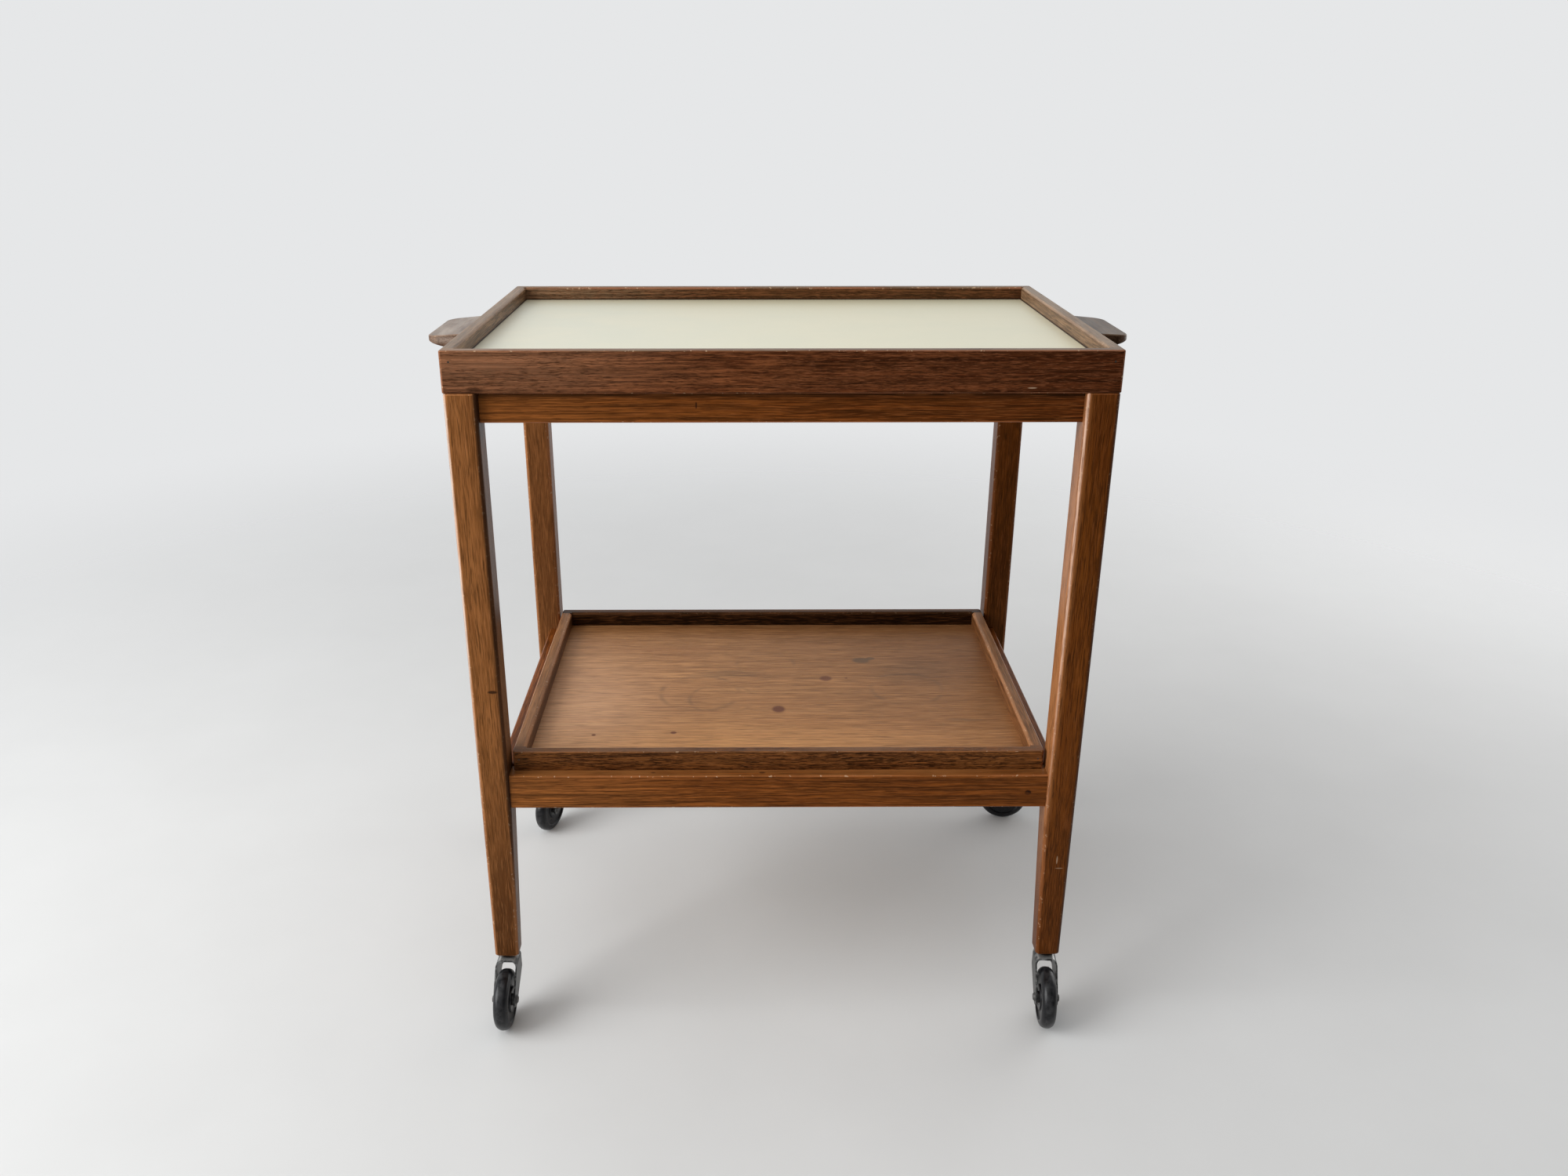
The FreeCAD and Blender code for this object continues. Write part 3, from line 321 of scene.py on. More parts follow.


# %% [markdown]
# ## The leg frame's teak
# Legs, aprons and lower rails are orange-brown and oiled, a little worn along the arrises. The left
# legs are painted paler, as lit by the window, and the right ones darker, as in shade; the front
# rails too are painted lighter on the left and darker on the right. The photograph shows a dark
# bruise on the front left leg, a knot near the end of the front lower rail and a few dents. A
# painted shadow lies under the tray's edge, and painted shade and painted highlights run along
# some arrises and joints.

# %% Dress the leg frame
RAIL_PALE, RAIL_DARK = colour(0.232, 0.068, 0.012), colour(0.128, 0.035, 0.006)
# The left legs are a paler copy painted as lit by the window, the right legs a darker copy painted in
# shade
LIT_LEFT_LEG = colour(0.298, 0.114, 0.034), colour(0.192, 0.070, 0.019)
SHADED_RIGHT_LEG = colour(0.162, 0.045, 0.006), colour(0.088, 0.023, 0.003)
# Painted light on the lower rails' ledge
LIT_LEDGE = colour(0.360, 0.150, 0.045)
# Dark of real bruises and dents, also used for painted shade lines and painted shadow
BRUISE_AND_SHADE = (0.024, 0.008, 0.004)
SCUFF = (0.42, 0.28, 0.18)
# Each tone or mark has a centre and a reach in metres, a shade and a strength
leg_marks = (
    ((-0.2776, -0.202, 0.3827), (0.006, 0.004, 0.0022), BRUISE_AND_SHADE, 0.9),
    ((0.2861, -0.202, 0.1900), (0.0009, 0.004, 0.0060), SCUFF, 0.7),
    ((0.2890, -0.202, 0.1800), (0.0050, 0.004, 0.0007), SCUFF, 0.5),
    # Painted shade down the inner arris of the front left leg and the outer arris of the front right
    # leg
    ((-0.2700, -0.2012, 0.450), (0.0034, 0.0034, 2.0), BRUISE_AND_SHADE, 0.85),
    ((0.2988, -0.2012, 0.450), (0.0036, 0.0036, 2.0), BRUISE_AND_SHADE, 0.55),
    # Painted shade where the front left leg meets the apron and the lower rail
    ((-0.2665, -0.196, 0.660), (0.0056, 0.05, 0.050), BRUISE_AND_SHADE, 0.95),
    ((-0.2665, -0.196, 0.270), (0.0056, 0.05, 0.050), BRUISE_AND_SHADE, 0.95),
)
rail_marks = (
    ((0.2506, -0.1985, 0.2677), (0.0042, 0.004, 0.0036), (0.010, 0.002, 0.002), 1.0),
    ((0.2480, -0.1985, 0.2640), (0.0090, 0.004, 0.0060), RAIL_DARK[:3], 0.5),
    ((-0.0762, -0.194, 0.6621), (0.0012, 0.004, 0.0040), BRUISE_AND_SHADE, 0.8),
    ((-0.0166, -0.192, 0.288), (0.0040, 0.0022, 0.003), BRUISE_AND_SHADE, 0.7),
    ((-0.1259, -0.1915, 0.288), (0.0030, 0.0018, 0.003), BRUISE_AND_SHADE, 0.6),
)
leg_tones = (
    # Darker towards the feet of the front legs
    ((-0.285, -0.190, 0.080), (0.08, 0.08, 0.27), (0.058, 0.018, 0.004), 0.92),
    ((0.285, -0.190, 0.080), (0.08, 0.08, 0.25), (0.070, 0.018, 0.003), 0.55),
    # The back left leg darker, more so on its lower half
    ((-0.285, 0.190, 0.500), (0.08, 0.08, 0.50), (0.100, 0.036, 0.012), 0.6),
    ((-0.285, 0.190, 0.330), (0.08, 0.08, 0.22), (0.050, 0.016, 0.006), 0.35),
    # Painted shade on the back right leg's lower half, the front left leg's inner face and the front
    # right leg's top
    ((0.285, 0.190, 0.330), (0.08, 0.08, 0.22), (0.016, 0.004, 0.001), 0.60),
    ((-0.2680, -0.190, 0.450), (0.0115, 0.05, 0.60), (0.036, 0.013, 0.005), 0.80),
    ((0.285, -0.190, 0.690), (0.08, 0.08, 0.12), (0.055, 0.014, 0.003), 0.40),
    # Painted light on the front right leg's inner face, and a painted highlight, partly rubbed wear,
    # down the left arris of each front leg
    ((0.2680, -0.190, 0.450), (0.010, 0.05, 0.50), (0.560, 0.240, 0.090), 0.70),
    ((0.2702, -0.2010, 0.560), (0.0026, 0.0026, 0.40), (0.900, 0.640, 0.500), 0.8),
    ((-0.2984, -0.2010, 0.560), (0.0026, 0.0026, 0.40), (0.920, 0.760, 0.640), 0.8),
    # Darker at the foot of every leg
    ((0.0, 0.0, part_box("leg_front_left")[0][2]), (2.0, 2.0, 0.0040), BRUISE_AND_SHADE, 0.7),
)
rail_tones = (
    # Painted light on the left of the front apron and rail, painted shade on their right
    ((-0.25, -0.196, 0.660), (0.22, 0.05, 0.12), (0.300, 0.105, 0.026), 0.4),
    ((-0.25, -0.196, 0.270), (0.22, 0.05, 0.10), (0.300, 0.120, 0.036), 0.35),
    ((0.34, -0.196, 0.660), (0.56, 0.05, 0.12), (0.050, 0.010, 0.002), 0.74),
    ((0.36, -0.196, 0.270), (0.50, 0.05, 0.10), (0.074, 0.020, 0.003), 0.52),
    # Painted shadow of the tray along the top of the front apron
    ((0.0, -0.194, 0.6745), (4.0, 0.05, 0.0085), BRUISE_AND_SHADE, 1.0),
)
long_rails = [f"{rail}_{side}" for rail in ("apron", "lower_rail") for side in ("front", "back")]
side_rails = [f"{rail}_{side}" for rail in ("apron", "lower_rail") for side in ("left", "right")]
dress(teak("lit left leg teak", "Z", *LIT_LEFT_LEG, wear=0.4, tones=leg_tones, marks=leg_marks),
      "leg_front_left", "leg_back_left")
dress(teak("shaded right leg teak", "Z", *SHADED_RIGHT_LEG, tones=leg_tones, marks=leg_marks),
      "leg_front_right", "leg_back_right")
dress(teak("long rail teak", "X", RAIL_PALE, RAIL_DARK, lines=0.55, wear=0.6, bloom_and_sheen=0.6,
           bloom_and_sheen_shade=LIT_LEDGE, tones=rail_tones, marks=rail_marks), *long_rails)
dress(teak("side rail teak", "Y", RAIL_PALE, RAIL_DARK, lines=0.55), *side_rails)

# %% [markdown]
# ## The tray's teak
# The tray's rims and handles are greyer and darker than the frame: more pores, less orange and a
# pale bloom of dust and painted sheen, strongest on the tops that catch the daylight and on the left
# handle. The left handle is painted paler, as lit, and the right one darker, as in shade, and the
# rims are painted lighter at the left and darker at the right, with a painted shadow along the
# front rim's lower edge. A pale chip shows low on the front rim, and a thin dark line runs where the
# rims meet the tray's floor.

# %% Dress the tray's wood
TRAY_PALE, TRAY_DARK = colour(0.186, 0.060, 0.021), colour(0.051, 0.013, 0.004)
tray_tones = (
    # Painted light on the left of the front rim, painted shade on its right
    ((-0.28, -0.200, 0.700), (0.26, 0.05, 0.06), (0.330, 0.160, 0.085), 0.5),
    ((0.34, -0.200, 0.690), (0.46, 0.05, 0.12), (0.040, 0.008, 0.002), 0.80),
    # The back rim darker over its middle and right, and painted lighter at its left as sheen
    ((0.10, 0.200, 0.705), (0.60, 0.06, 0.06), (0.062, 0.044, 0.020), 0.5),
    ((-0.28, 0.200, 0.705), (0.25, 0.06, 0.06), (0.300, 0.190, 0.110), 0.6),
    # Painted shade along the lower edge of the front rim
    ((0.0, -0.200, 0.6735), (4.0, 0.05, 0.0028), BRUISE_AND_SHADE, 0.9),
)
tray_marks = (
    ((0.2204, -0.200, 0.6787), (0.0050, 0.004, 0.0008), SCUFF, 0.8),
    ((-0.2702, -0.200, 0.6762), (0.0090, 0.004, 0.0040), BRUISE_AND_SHADE, 0.5),
    # A thin dark line where the long rims meet the laminate
    ((0.0, 0.1870, 0.6980), (3.0, 0.0040, 0.0016), BRUISE_AND_SHADE, 0.9),
    ((0.0, -0.1870, 0.6980), (3.0, 0.0040, 0.0016), BRUISE_AND_SHADE, 0.9),
)
END_RIM = colour(0.285, 0.165, 0.090), colour(0.115, 0.057, 0.028)
# Painted shade on the right end rim
end_rim_tones = (((0.300, 0.0, 0.700), (0.08, 1.0, 0.15), (0.150, 0.090, 0.048), 0.5),)
end_rim_marks = (
    # A thin dark line where the end rims meet the laminate
    ((-0.2870, 0.0, 0.6980), (0.0040, 3.0, 0.0014), BRUISE_AND_SHADE, 0.9),
    ((0.2870, 0.0, 0.6980), (0.0040, 3.0, 0.0014), BRUISE_AND_SHADE, 0.9),
)
dress(teak("tray long rim teak", "X", TRAY_PALE, TRAY_DARK, fleck=110.0, fine=1300.0, lines=0.45,
           bloom_and_sheen=0.5, wear=0.6, tones=tray_tones, marks=tray_marks), "tray_rim_front", "tray_rim_back")
SILVER = colour(0.46, 0.385, 0.32)
# The left handle is a paler copy painted as lit, the right one a darker copy painted in shade
LIT_LEFT_HANDLE = colour(0.170, 0.096, 0.060), colour(0.060, 0.030, 0.018)
SHADED_RIGHT_HANDLE = colour(0.085, 0.044, 0.024), colour(0.028, 0.013, 0.007)
dress(teak("tray end rim teak", "Y", *END_RIM, fine=1200.0, lines=0.35, bloom_and_sheen=0.5,
           tones=end_rim_tones, marks=end_rim_marks), "tray_rim_left", "tray_rim_right")
left_handle_tones = (
    # Painted highlight along the top of the left handle's front end, painted shade below it
    ((-0.330, -0.0570, 0.6950), (0.040, 0.012, 0.0060), (0.420, 0.330, 0.270), 0.9),
    ((-0.330, -0.0570, 0.6840), (0.050, 0.030, 0.0080), (0.050, 0.028, 0.020), 0.9),
)
right_handle_tones = (
    # Painted shade on the right handle's front end
    ((0.330, -0.0570, 0.6900), (0.060, 0.016, 0.0120), (0.010, 0.005, 0.002), 0.8),
)
dress(teak("left handle teak", "Y", *LIT_LEFT_HANDLE, fine=1200.0, bloom_and_sheen=0.8, bloom_and_sheen_shade=SILVER,
           tones=left_handle_tones), "handle_left")
dress(teak("right handle teak", "Y", *SHADED_RIGHT_HANDLE, fine=1200.0, bloom_and_sheen=0.3, tones=right_handle_tones),
      "handle_right")

# %% [markdown]
# ## The shelf's teak
# The shelf's floor is an orange-brown veneer with its grain along the trolley and more shine than
# the rest. Its front and left are painted paler as light and sheen, its right and back darker as
# shade under the tray, and cups and pots have left dark rings and drops on it. Its rims are a
# darker brown, the back one nearly black inside, as old polish and as painted shade, and the left
# one painted in shade inside. Their rounded edges are rubbed pale, and the tops of the front and
# side rims are painted paler as lit.

# %% Dress the shelf
VENEER_PALE, VENEER_DARK = colour(0.560, 0.280, 0.112), colour(0.365, 0.165, 0.060)
STAIN = (0.125, 0.030, 0.016)
# Height of the veneer's face above the floor, in metres
SHELF_TOP = 0.2914
veneer_tones = (
    # Painted shade on the right and the back of the shelf, under the tray
    ((0.28, 0.06, SHELF_TOP), (0.38, 0.32, 0.1), (0.180, 0.062, 0.015), 0.72),
    ((0.0, 0.24, SHELF_TOP), (0.56, 0.23, 0.1), (0.130, 0.050, 0.017), 0.88),
    # A faint grey blotch
    ((0.1636, 0.0381, SHELF_TOP), (0.0800, 0.0600, 0.1), SMOKE, 0.30),
    # Painted light and sheen on the front and the left of the shelf
    ((-0.05, -0.20, SHELF_TOP), (0.38, 0.15, 0.1), (0.820, 0.400, 0.140), 0.60),
    ((-0.27, -0.06, SHELF_TOP), (0.20, 0.24, 0.1), (0.760, 0.470, 0.300), 0.60),
)
veneer_marks = (
    ((0.0029, -0.0601, SHELF_TOP), (0.0092, 0.0105, 0.004), STAIN, 0.85),
    ((0.0592, 0.0172, SHELF_TOP), (0.0092, 0.0086, 0.004), STAIN, 0.75),
    ((0.0830, 0.0180, SHELF_TOP), (0.0022, 0.0022, 0.004), STAIN, 0.6),
    ((0.1043, 0.0668, SHELF_TOP), (0.0140, 0.0100, 0.004), SMOKE, 0.75),
    ((0.1160, 0.0720, SHELF_TOP), (0.0070, 0.0050, 0.004), SMOKE, 0.7),
    ((-0.1097, -0.1142, SHELF_TOP), (0.0042, 0.0036, 0.004), STAIN, 0.85),
    ((-0.1938, -0.1191, SHELF_TOP), (0.0030, 0.0028, 0.004), STAIN, 0.85),
    ((0.2033, -0.0868, SHELF_TOP), (0.0300, 0.0035, 0.004), SMOKE, 0.35),
    ((-0.0500, 0.0300, SHELF_TOP), (0.0500, 0.0120, 0.004), SMOKE, 0.25),
)
# Each ring has a centre, a radius and a width in metres, and a strength
veneer_cups = (
    ((-0.085, -0.020, SHELF_TOP), 0.044, 0.005, 0.35),
    ((-0.060, -0.035, SHELF_TOP), 0.036, 0.004, 0.30),
    ((0.150, -0.010, SHELF_TOP), 0.040, 0.005, 0.30),
    ((-0.010, 0.055, SHELF_TOP), 0.034, 0.004, 0.22),
)
dress(teak("shelf veneer", "X", VENEER_PALE, VENEER_DARK, fleck=32.0, fine=800.0, grit=0.42,
           lines=0.16, rings=0.1, patch=0.2, wear=0.0, rough=0.38, gloss=0.22, tones=veneer_tones,
           marks=veneer_marks, cups=veneer_cups), "shelf_veneer")
RIM_PALE, RIM_DARK = colour(0.185, 0.064, 0.016), colour(0.052, 0.016, 0.005)
SIDE_RIM = colour(0.300, 0.125, 0.043), colour(0.112, 0.040, 0.012)
# Painted light on the tops of the front and side rims
RIM_TOP_LIGHT, SIDE_TOP_LIGHT = colour(0.30, 0.16, 0.085), colour(0.38, 0.21, 0.11)
dress(teak("shelf front rim teak", "X", RIM_PALE, RIM_DARK, fleck=100.0, fine=1150.0, grit=1.0,
           lines=0.5, wear=0.5, bloom_and_sheen=0.5, bloom_and_sheen_shade=RIM_TOP_LIGHT), "shelf_rim_front")
back_rim_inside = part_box("shelf_rim_back")[0][1]
back_rim_tones = (
    # Nearly black inside, as old polish and as painted shade
    ((0.0, back_rim_inside, 0.2960), (3.0, 0.0150, 0.0700), (0.009, 0.004, 0.002), 1.0),
)
dress(teak("shelf back rim teak", "X", RIM_PALE, RIM_DARK, grit=0.5, wear=0.1, tones=back_rim_tones),
      "shelf_rim_back")
# Painted shade on the left rim's inner face
side_rim_tones = (((-0.2540, 0.0, 0.2990), (0.0060, 1.0, 0.0120), (0.030, 0.011, 0.005), 0.8),)
dress(teak("shelf side rim teak", "Y", *SIDE_RIM, lines=0.35, wear=0.5, bloom_and_sheen=0.5,
           bloom_and_sheen_shade=SIDE_TOP_LIGHT, tones=side_rim_tones), "shelf_rim_left", "shelf_rim_right")

# %% [markdown]
# ## Plain wood out of sight
# The battens and the boards show only from below. Both use the teak recipe in paler colours: the
# battens are plain sawn wood, and the plywood boards have the broad ringed figure of a peeled sheet.

# %% Dress the battens and boards
BATTEN = colour(0.46, 0.31, 0.17), colour(0.26, 0.15, 0.07)
PLYWOOD = colour(0.50, 0.34, 0.19), colour(0.32, 0.19, 0.09)
dress(teak("batten wood", "Y", *BATTEN, grit=0.4, wear=0.1, rough=0.6),
      "tray_batten_left", "tray_batten_right")
dress(teak("plywood", "X", *PLYWOOD, grit=0.4, rings=0.4, wear=0.0, rough=0.62),
      "tray_core", "shelf_core")

# %% [markdown]
# ## The laminate
# The tray's floor is a hard cream sheet with a satin face. It isn't perfectly even: it is slightly
# mottled, greener in places, creamier to the right, shaded by the back rim, faintly scratched by
# crockery and darker in a thin line along the rims. The line comes from the sheet's own
# coordinates, so it follows its edges from any side.

# %% Dress the laminate
CREAM, GREENISH = colour(0.77, 0.735, 0.565), colour(0.72, 0.715, 0.575)
CREAMY = colour(0.78, 0.73, 0.50)
SPECK, SCRATCH = colour(0.50, 0.47, 0.36), colour(0.80, 0.79, 0.68)
BACK_SHADE, GRIME = colour(0.45, 0.38, 0.22), colour(0.40, 0.34, 0.22)
RIM_LINE = colour(0.035, 0.022, 0.014)
# Widths at the rims, in metres
SHADE_WIDTH, GRIME_WIDTH, RIM_LINE_WIDTH, RIM_LINE_CORE = 0.060, 0.020, 0.0015, 0.0006


def laminate_finish():
    material, tree, shader = start_finish("cream laminate")
    place = object_place(tree)
    cloud = noise(tree, place, 9.0, 5.0, 0.6)
    body = tint(tree, fade(tree, cloud, 0.3, 0.7), CREAM, GREENISH)
    speck = noise(tree, place, 900.0, 2.0)
    body = glaze(tree, body, SPECK, fade(tree, speck, 0.60, 0.75), 0.10)
    scratch = noise(tree, mapped(tree, place, rotation=(0, 0, 0.5), scale=(6, 700, 1)), 1.0, 1.0)
    body = glaze(tree, body, SCRATCH, fade(tree, scratch, 0.70, 0.76), 0.10)
    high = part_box("tray_laminate")[1]
    along, across, _ = add(tree, "SeparateXYZ", Vector=place).outputs
    body = glaze(tree, body, CREAMY, fade(tree, along, -0.30, 0.10), 0.5)
    body = glaze(tree, body, BACK_SHADE, fade(tree, across, high[1] - SHADE_WIDTH, high[1]), 0.4)
    size = vector(tree, "ABSOLUTE", place)[0]
    x, y, _ = add(tree, "SeparateXYZ", Vector=size).outputs
    from_end = calc(tree, "SUBTRACT", high[0], x)
    from_side = calc(tree, "SUBTRACT", high[1], y)
    from_rim = calc(tree, "MINIMUM", from_end, from_side)
    patchy = calc(tree, "MULTIPLY", noise(tree, place, 60.0, 3.0), 0.35)
    body = glaze(tree, body, GRIME, fade(tree, from_rim, GRIME_WIDTH, 0.0), patchy)
    body = glaze(tree, body, RIM_LINE, fade(tree, from_rim, RIM_LINE_WIDTH, RIM_LINE_CORE), 0.95)
    wire(tree, shader.inputs["Base Color"], body)
    roughen(tree, shader, 0.27, cloud, 0.12)
    press(tree, shader, speck, 0.05, 0.0002)
    return material


dress(laminate_finish(), "tray_laminate")

# %% [markdown]
# ## Metal
# The castors' forks are zinc-plated steel. The plate has gone dark and greasy on the sides. The
# faces that look up are painted paler, as zinc bloom and painted sheen, and so are places along
# rubbed edges, as wear and a painted highlight. The axles and bushes are greasy all over, the
# sockets and stems under the legs are painted near black as the shade under the legs, the screws
# are a browner steel, and the pins at the rims' corners have tarnished almost black.

# %% Dress the metal
ZINC_BLOOM_AND_SHEEN = colour(0.62, 0.62, 0.60)


def steel(name, bright, dim, rough, bloom_and_sheen=0.0, metal=1.0):
    material, tree, shader = start_finish(name)
    place = object_place(tree)
    cloud = noise(tree, place, 160.0, 6.0, 0.70)
    brushed = noise(tree, mapped(tree, place, scale=(300, 300, 4200)), 1.0, 2.0)
    body = tint(tree, fade(tree, cloud, 0.20, 0.80), colour(*dim), colour(*bright))
    # Zinc bloom and painted sheen on faces that look up; wear and a painted highlight along rubbed
    # edges
    if bloom_and_sheen:
        upward = fade(tree, facing(tree)[2], 0.75, 0.95)
        bloom_and_sheen_mask = calc(tree, "MULTIPLY", upward, fade(tree, cloud, 0.2, 0.5))
        body = glaze(tree, body, ZINC_BLOOM_AND_SHEEN, bloom_and_sheen_mask, bloom_and_sheen)
        rubbed = calc(tree, "MULTIPLY", arris_mask(tree), fade(tree, cloud, 0.45, 0.60))
        body = glaze(tree, body, ZINC_BLOOM_AND_SHEEN, rubbed, 0.3)
    wire(tree, shader.inputs["Base Color"], body)
    shader.inputs["Metallic"].default_value = metal
    shader.inputs["Specular IOR Level"].default_value = 0.3
    roughen(tree, shader, rough, cloud, 0.22)
    press(tree, shader, calc(tree, "ADD", brushed, cloud), 0.10, 0.0002)
    return material


corners = [f"{front}_{left}" for front in ("front", "back") for left in ("left", "right")]
plated = steel("zinc plate", (0.090, 0.090, 0.088), (0.036, 0.036, 0.036), 0.26, bloom_and_sheen=0.55,
               metal=0.6)
greasy = steel("greasy steel", (0.110, 0.105, 0.100), (0.045, 0.045, 0.045), 0.34, metal=0.6)
# Painted near black as the shade under the legs
socket_shade_steel = steel("shaded socket steel", (0.030, 0.024, 0.020), (0.010, 0.008, 0.007), 0.42, metal=0.4)
for corner in corners:
    dress(plated, f"castor_fork_{corner}")
    dress(socket_shade_steel, f"castor_socket_{corner}", f"castor_stem_{corner}")
    dress(greasy, f"castor_axle_{corner}", f"wheel_bush_{corner}")
dress(steel("screw steel", (0.46, 0.43, 0.37), (0.25, 0.21, 0.16), 0.34),
      "handle_screws", "shelf_screws")
dress(steel("tarnished pin", (0.14, 0.11, 0.09), (0.05, 0.04, 0.03), 0.5),
      "tray_rim_pins", "shelf_rim_pins")

# %% [markdown]
# ## The rubber wheels
# Each wheel is solid black rubber moulded round a steel bush, with a rounded tread, a shallow dish
# in each side and a faint mould line. The frame's plain wheel is turned from a square section, so
# its dish has sharp edges. A lathe suits the real one: draw half a section, round its corners with
# a bevel and spin it about the axle. The spin starts from a few vertices, and the bevel is given
# its segments and profile.

# %% Turn the wheels
# Half a section as distance along the axle and radius, from bore to tread and back, in metres
WHEEL_RADIUS = 0.0315
WHEEL_SECTION = (
    (-0.00775, 0.00605), (-0.00775, 0.0135), (-0.00595, 0.0135), (-0.00595, 0.0230),
    (-0.00775, 0.0230), (-0.00775, 0.03140), (-0.0005, 0.03140), (0.0, WHEEL_RADIUS),
    (0.0005, 0.03140), (0.00775, 0.03140), (0.00775, 0.0230), (0.00595, 0.0230),
    (0.00595, 0.0135), (0.00775, 0.0135), (0.00775, 0.00605),
)
# Corners of the section by number, the round each gets in metres, and its segments
TREAD_BEVEL = (5, 9), 0.0070, 10
DISH_BEVEL = (1, 2, 3, 4, 10, 11, 12, 13), 0.0008, 3
SPIN_STEPS = 72
DEEP_BLACK, DUSTY_BLACK = colour(0.004, 0.004, 0.005), colour(0.011, 0.011, 0.013)
WORN_TREAD = colour(0.045, 0.044, 0.045)
joints = {joint["name"]: joint for joint in frame["joints"]}


def turned_tyre(corner, finish):
    joint = joints[f"wheel_spin_{corner}"]
    centre, axis = Vector(joint["pos_m"]), Vector(joint["axis"])
    mesh = bmesh.new()
    points = [mesh.verts.new((x, 0.0, radius)) for x, radius in WHEEL_SECTION]
    for pair in zip(points, points[1:] + points[:1]):
        mesh.edges.new(pair)
    for rounded, size, segments in (TREAD_BEVEL, DISH_BEVEL):
        bmesh.ops.bevel(mesh, geom=[points[i] for i in rounded], offset=size, offset_type="OFFSET",
                        affect="VERTICES", segments=segments, profile=0.5, material=-1)
    bmesh.ops.spin(mesh, geom=mesh.verts[:] + mesh.edges[:], cent=(0, 0, 0), axis=(1, 0, 0),
                   angle=math.tau, steps=SPIN_STEPS, use_merge=True, use_duplicate=False)
    bmesh.ops.recalc_face_normals(mesh, faces=mesh.faces[:])
    for face in mesh.faces:
        face.smooth = True
    tread = mesh.verts.layers.float.new("tread")
    for vert in mesh.verts:
        vert[tread] = math.hypot(vert.co.y, vert.co.z) / WHEEL_RADIUS
    turn = Matrix.Rotation(math.atan2(axis.y, axis.x), 4, "Z")
    bmesh.ops.transform(mesh, matrix=Matrix.Translation(centre) @ turn, verts=mesh.verts[:])
    data = bpy.data.meshes.new(f"rubber_wheel_{corner}")
    mesh.to_mesh(data)
    mesh.free()
    data.materials.append(finish)
    piece = bpy.data.objects.new(data.name, data)
    bpy.context.scene.collection.objects.link(piece)
    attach(piece, f"wheel_{corner}")
    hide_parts(f"wheel_tyre_{corner}")
    print(piece.name, len(data.polygons), "faces")


def rubber_finish():
    material, tree, shader = start_finish("black rubber")
    place = object_place(tree)
    tread = add(tree, "Attribute", {"attribute_name": "tread"}).outputs["Fac"]
    dust = noise(tree, place, 130.0, 5.0, 0.65)
    scuff = noise(tree, place, 700.0, 3.0)
    body = tint(tree, fade(tree, dust, 0.35, 0.75), DEEP_BLACK, DUSTY_BLACK)
    worn = calc(tree, "MULTIPLY", fade(tree, tread, 0.955, 0.995), fade(tree, dust, 0.38, 0.62))
    body = glaze(tree, body, WORN_TREAD, worn, 0.5)
    wire(tree, shader.inputs["Base Color"], body)
    roughen(tree, shader, 0.19, dust, 0.24)
    shader.inputs["Specular IOR Level"].default_value = 0.30
    press(tree, shader, calc(tree, "ADD", scuff, dust), 0.14, 0.0002)
    return material


rubber = rubber_finish()
for corner in corners:
    turned_tyre(corner, rubber)

# %% [markdown]
# ## Floor, light and camera
# The trolley stands on a plain pale floor, which thins out to nothing far away, so it has no edge
# and runs into the pale world. The photograph is lit by daylight from the left, so one large soft
# lamp stands there, a second hangs above and a weak third opens the shade behind. The world fills
# the rest, a little brighter to the left and the back. The light it gives, what surfaces mirror of
# it and what the camera sees behind the trolley each have a level of their own. The camera has the
# place, tilt and lens that the photograph's edges give, and its shift puts the trolley where the
# photograph has it.

# %% Floor
# Radius of the floor, and the distances between which it thins out, in metres
FLOOR_RADIUS = 3.0
THIN_FROM, THIN_TO = 0.7, 2.6


def pale_floor():
    mesh = bmesh.new()
    bmesh.ops.create_circle(mesh, cap_ends=True, radius=FLOOR_RADIUS, segments=96)
    data = bpy.data.meshes.new("floor")
    mesh.to_mesh(data)
    mesh.free()
    material, tree, shader = start_finish("pale floor")
    place = object_place(tree)
    cloud = noise(tree, place, 5.0, 4.0)
    body = tint(tree, cloud, colour(0.66, 0.66, 0.65), colour(0.72, 0.72, 0.71))
    wire(tree, shader.inputs["Base Color"], body)
    shader.inputs["Roughness"].default_value = 0.75
    reach = vector(tree, "LENGTH", place)["Value"]
    edge = add(tree, "MixShader", Fac=fade(tree, reach, THIN_FROM, THIN_TO))
    wire(tree, edge.inputs[1], shader.outputs[0])
    wire(tree, edge.inputs[2], add(tree, "BsdfTransparent").outputs[0])
    wire(tree, tree.nodes["Material Output"].inputs["Surface"], edge.outputs[0])
    data.materials.append(material)
    piece = bpy.data.objects.new("floor", data)
    bpy.context.scene.collection.objects.link(piece)
    print("floor radius", FLOOR_RADIUS, "m")


pale_floor()


# %% World and lamps
FILL, FILL_LEAN = 0.47, (-0.19, 0.12, 0.0)
SHEEN, SHEEN_LEAN = 0.46, (-0.12, 0.38, 0.0)
BACKDROP = 0.85
DARKEST = 0.04
COOL_LIGHT, COOL_SHINE = colour(0.97, 0.98, 1.0), colour(0.96, 0.98, 1.0)
BACKDROP_TONE = colour(0.93, 0.94, 0.95)


def leaning(tree, level, lean):
    """A level that rises towards one side of the room."""
    way = add(tree, "TexCoord").outputs["Generated"]
    rise = vector(tree, "DOT_PRODUCT", way, lean)["Value"]
    return calc(tree, "MAXIMUM", calc(tree, "ADD", rise, level), DARKEST)


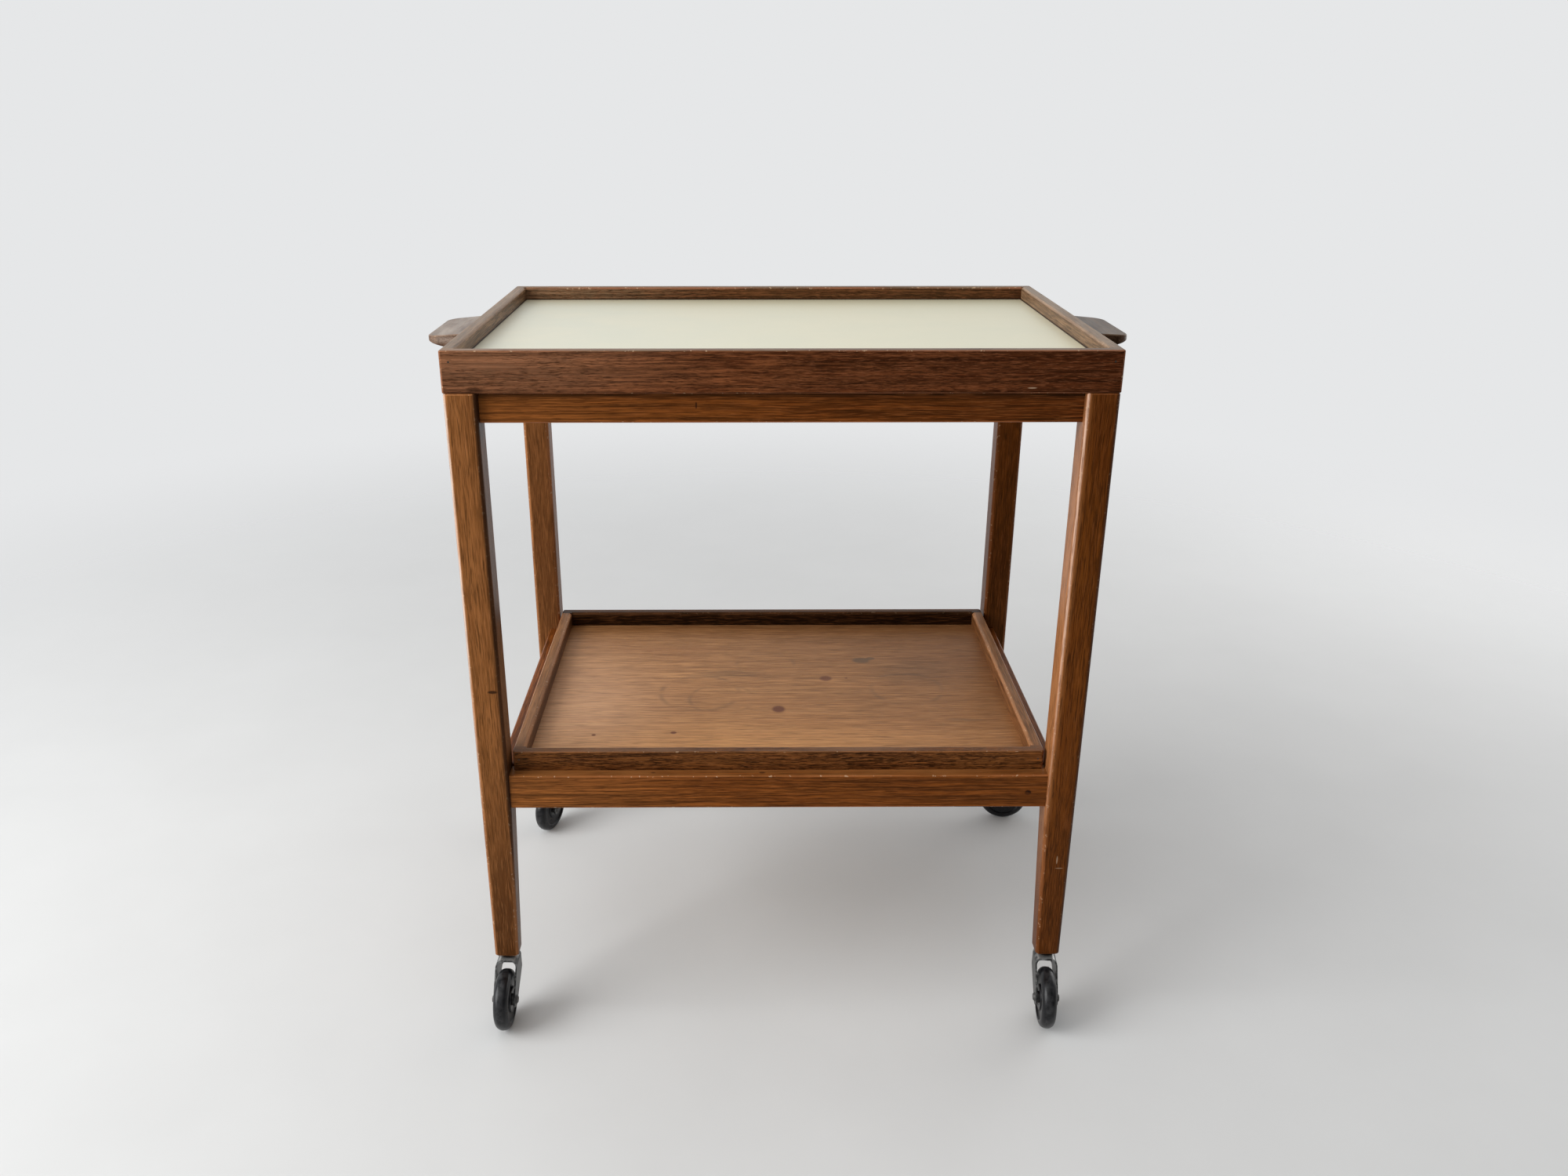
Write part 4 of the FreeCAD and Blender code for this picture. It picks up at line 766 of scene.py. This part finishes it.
def soft_world():
    world = bpy.data.worlds.new("soft daylight")
    bpy.context.scene.world = world
    world.use_nodes = True
    tree = world.node_tree
    tree.nodes.clear()
    rays = add(tree, "LightPath")
    glossy, clear = rays.outputs["Is Glossy Ray"], rays.outputs["Is Transmission Ray"]
    mirrored = calc(tree, "MAXIMUM", glossy, clear)
    light = add(tree, "Background", Color=COOL_LIGHT, Strength=leaning(tree, FILL, FILL_LEAN))
    shine = add(tree, "Background", Color=COOL_SHINE, Strength=leaning(tree, SHEEN, SHEEN_LEAN))
    shown = add(tree, "Background", Color=BACKDROP_TONE, Strength=BACKDROP)
    inner = add(tree, "MixShader", Fac=mirrored)
    wire(tree, inner.inputs[1], light.outputs[0])
    wire(tree, inner.inputs[2], shine.outputs[0])
    outer = add(tree, "MixShader", Fac=rays.outputs["Is Camera Ray"])
    wire(tree, outer.inputs[1], inner.outputs[0])
    wire(tree, outer.inputs[2], shown.outputs[0])
    add(tree, "OutputWorld", Surface=outer.outputs[0])
    print("world fill", FILL, "sheen", SHEEN, "backdrop", BACKDROP)


def soft_lamp(name, place, target, size, power, tone):
    lamp = bpy.data.lights.new(name, "AREA")
    lamp.shape = "RECTANGLE"
    lamp.size, lamp.size_y = size
    lamp.energy = power
    lamp.color = tone
    piece = bpy.data.objects.new(name, lamp)
    piece.location = place
    piece.rotation_euler = (Vector(target) - Vector(place)).to_track_quat("-Z", "Y").to_euler()
    bpy.context.scene.collection.objects.link(piece)
    print(name, power, "W")


soft_world()
soft_lamp("window", place=(-2.55, -1.05, 1.50), target=(0.0, 0.0, 0.45), size=(2.1, 2.1),
          power=85.0, tone=(0.98, 0.99, 1.0))
soft_lamp("ceiling", place=(-0.5, -0.6, 2.7), target=(0.0, 0.0, 0.5), size=(2.4, 2.4),
          power=15.0, tone=(1.0, 0.99, 0.97))
soft_lamp("back fill", place=(2.0, 1.3, 0.9), target=(0.0, 0.0, 0.45), size=(1.8, 1.4),
          power=14.0, tone=(1.0, 0.99, 0.98))


# %% Camera
# Lens and shift in the photograph's pixels, place in metres
IMAGE_WIDTH = 2000
FOCAL_PIXELS = 1581.7
CENTRE_SHIFT = (37.9, 9.2)
TILT_DOWN = math.radians(21.84)
TURN = math.radians(-0.29)
CAMERA_PLACE = (-0.0300, -1.2805, 0.9156)
SENSOR_WIDTH = 36.0
lens = bpy.data.cameras.new("photo view")
lens.sensor_width = SENSOR_WIDTH
lens.lens = FOCAL_PIXELS / IMAGE_WIDTH * SENSOR_WIDTH
lens.shift_x, lens.shift_y = (offset / IMAGE_WIDTH for offset in CENTRE_SHIFT)
camera = bpy.data.objects.new("photo view", lens)
camera.location = CAMERA_PLACE
camera.rotation_euler = (math.pi / 2 - TILT_DOWN, 0.0, TURN)
bpy.context.scene.collection.objects.link(camera)
bpy.context.scene.camera = camera
bpy.context.scene.view_settings.view_transform = "Standard"
print("lens", round(lens.lens, 2), "mm")
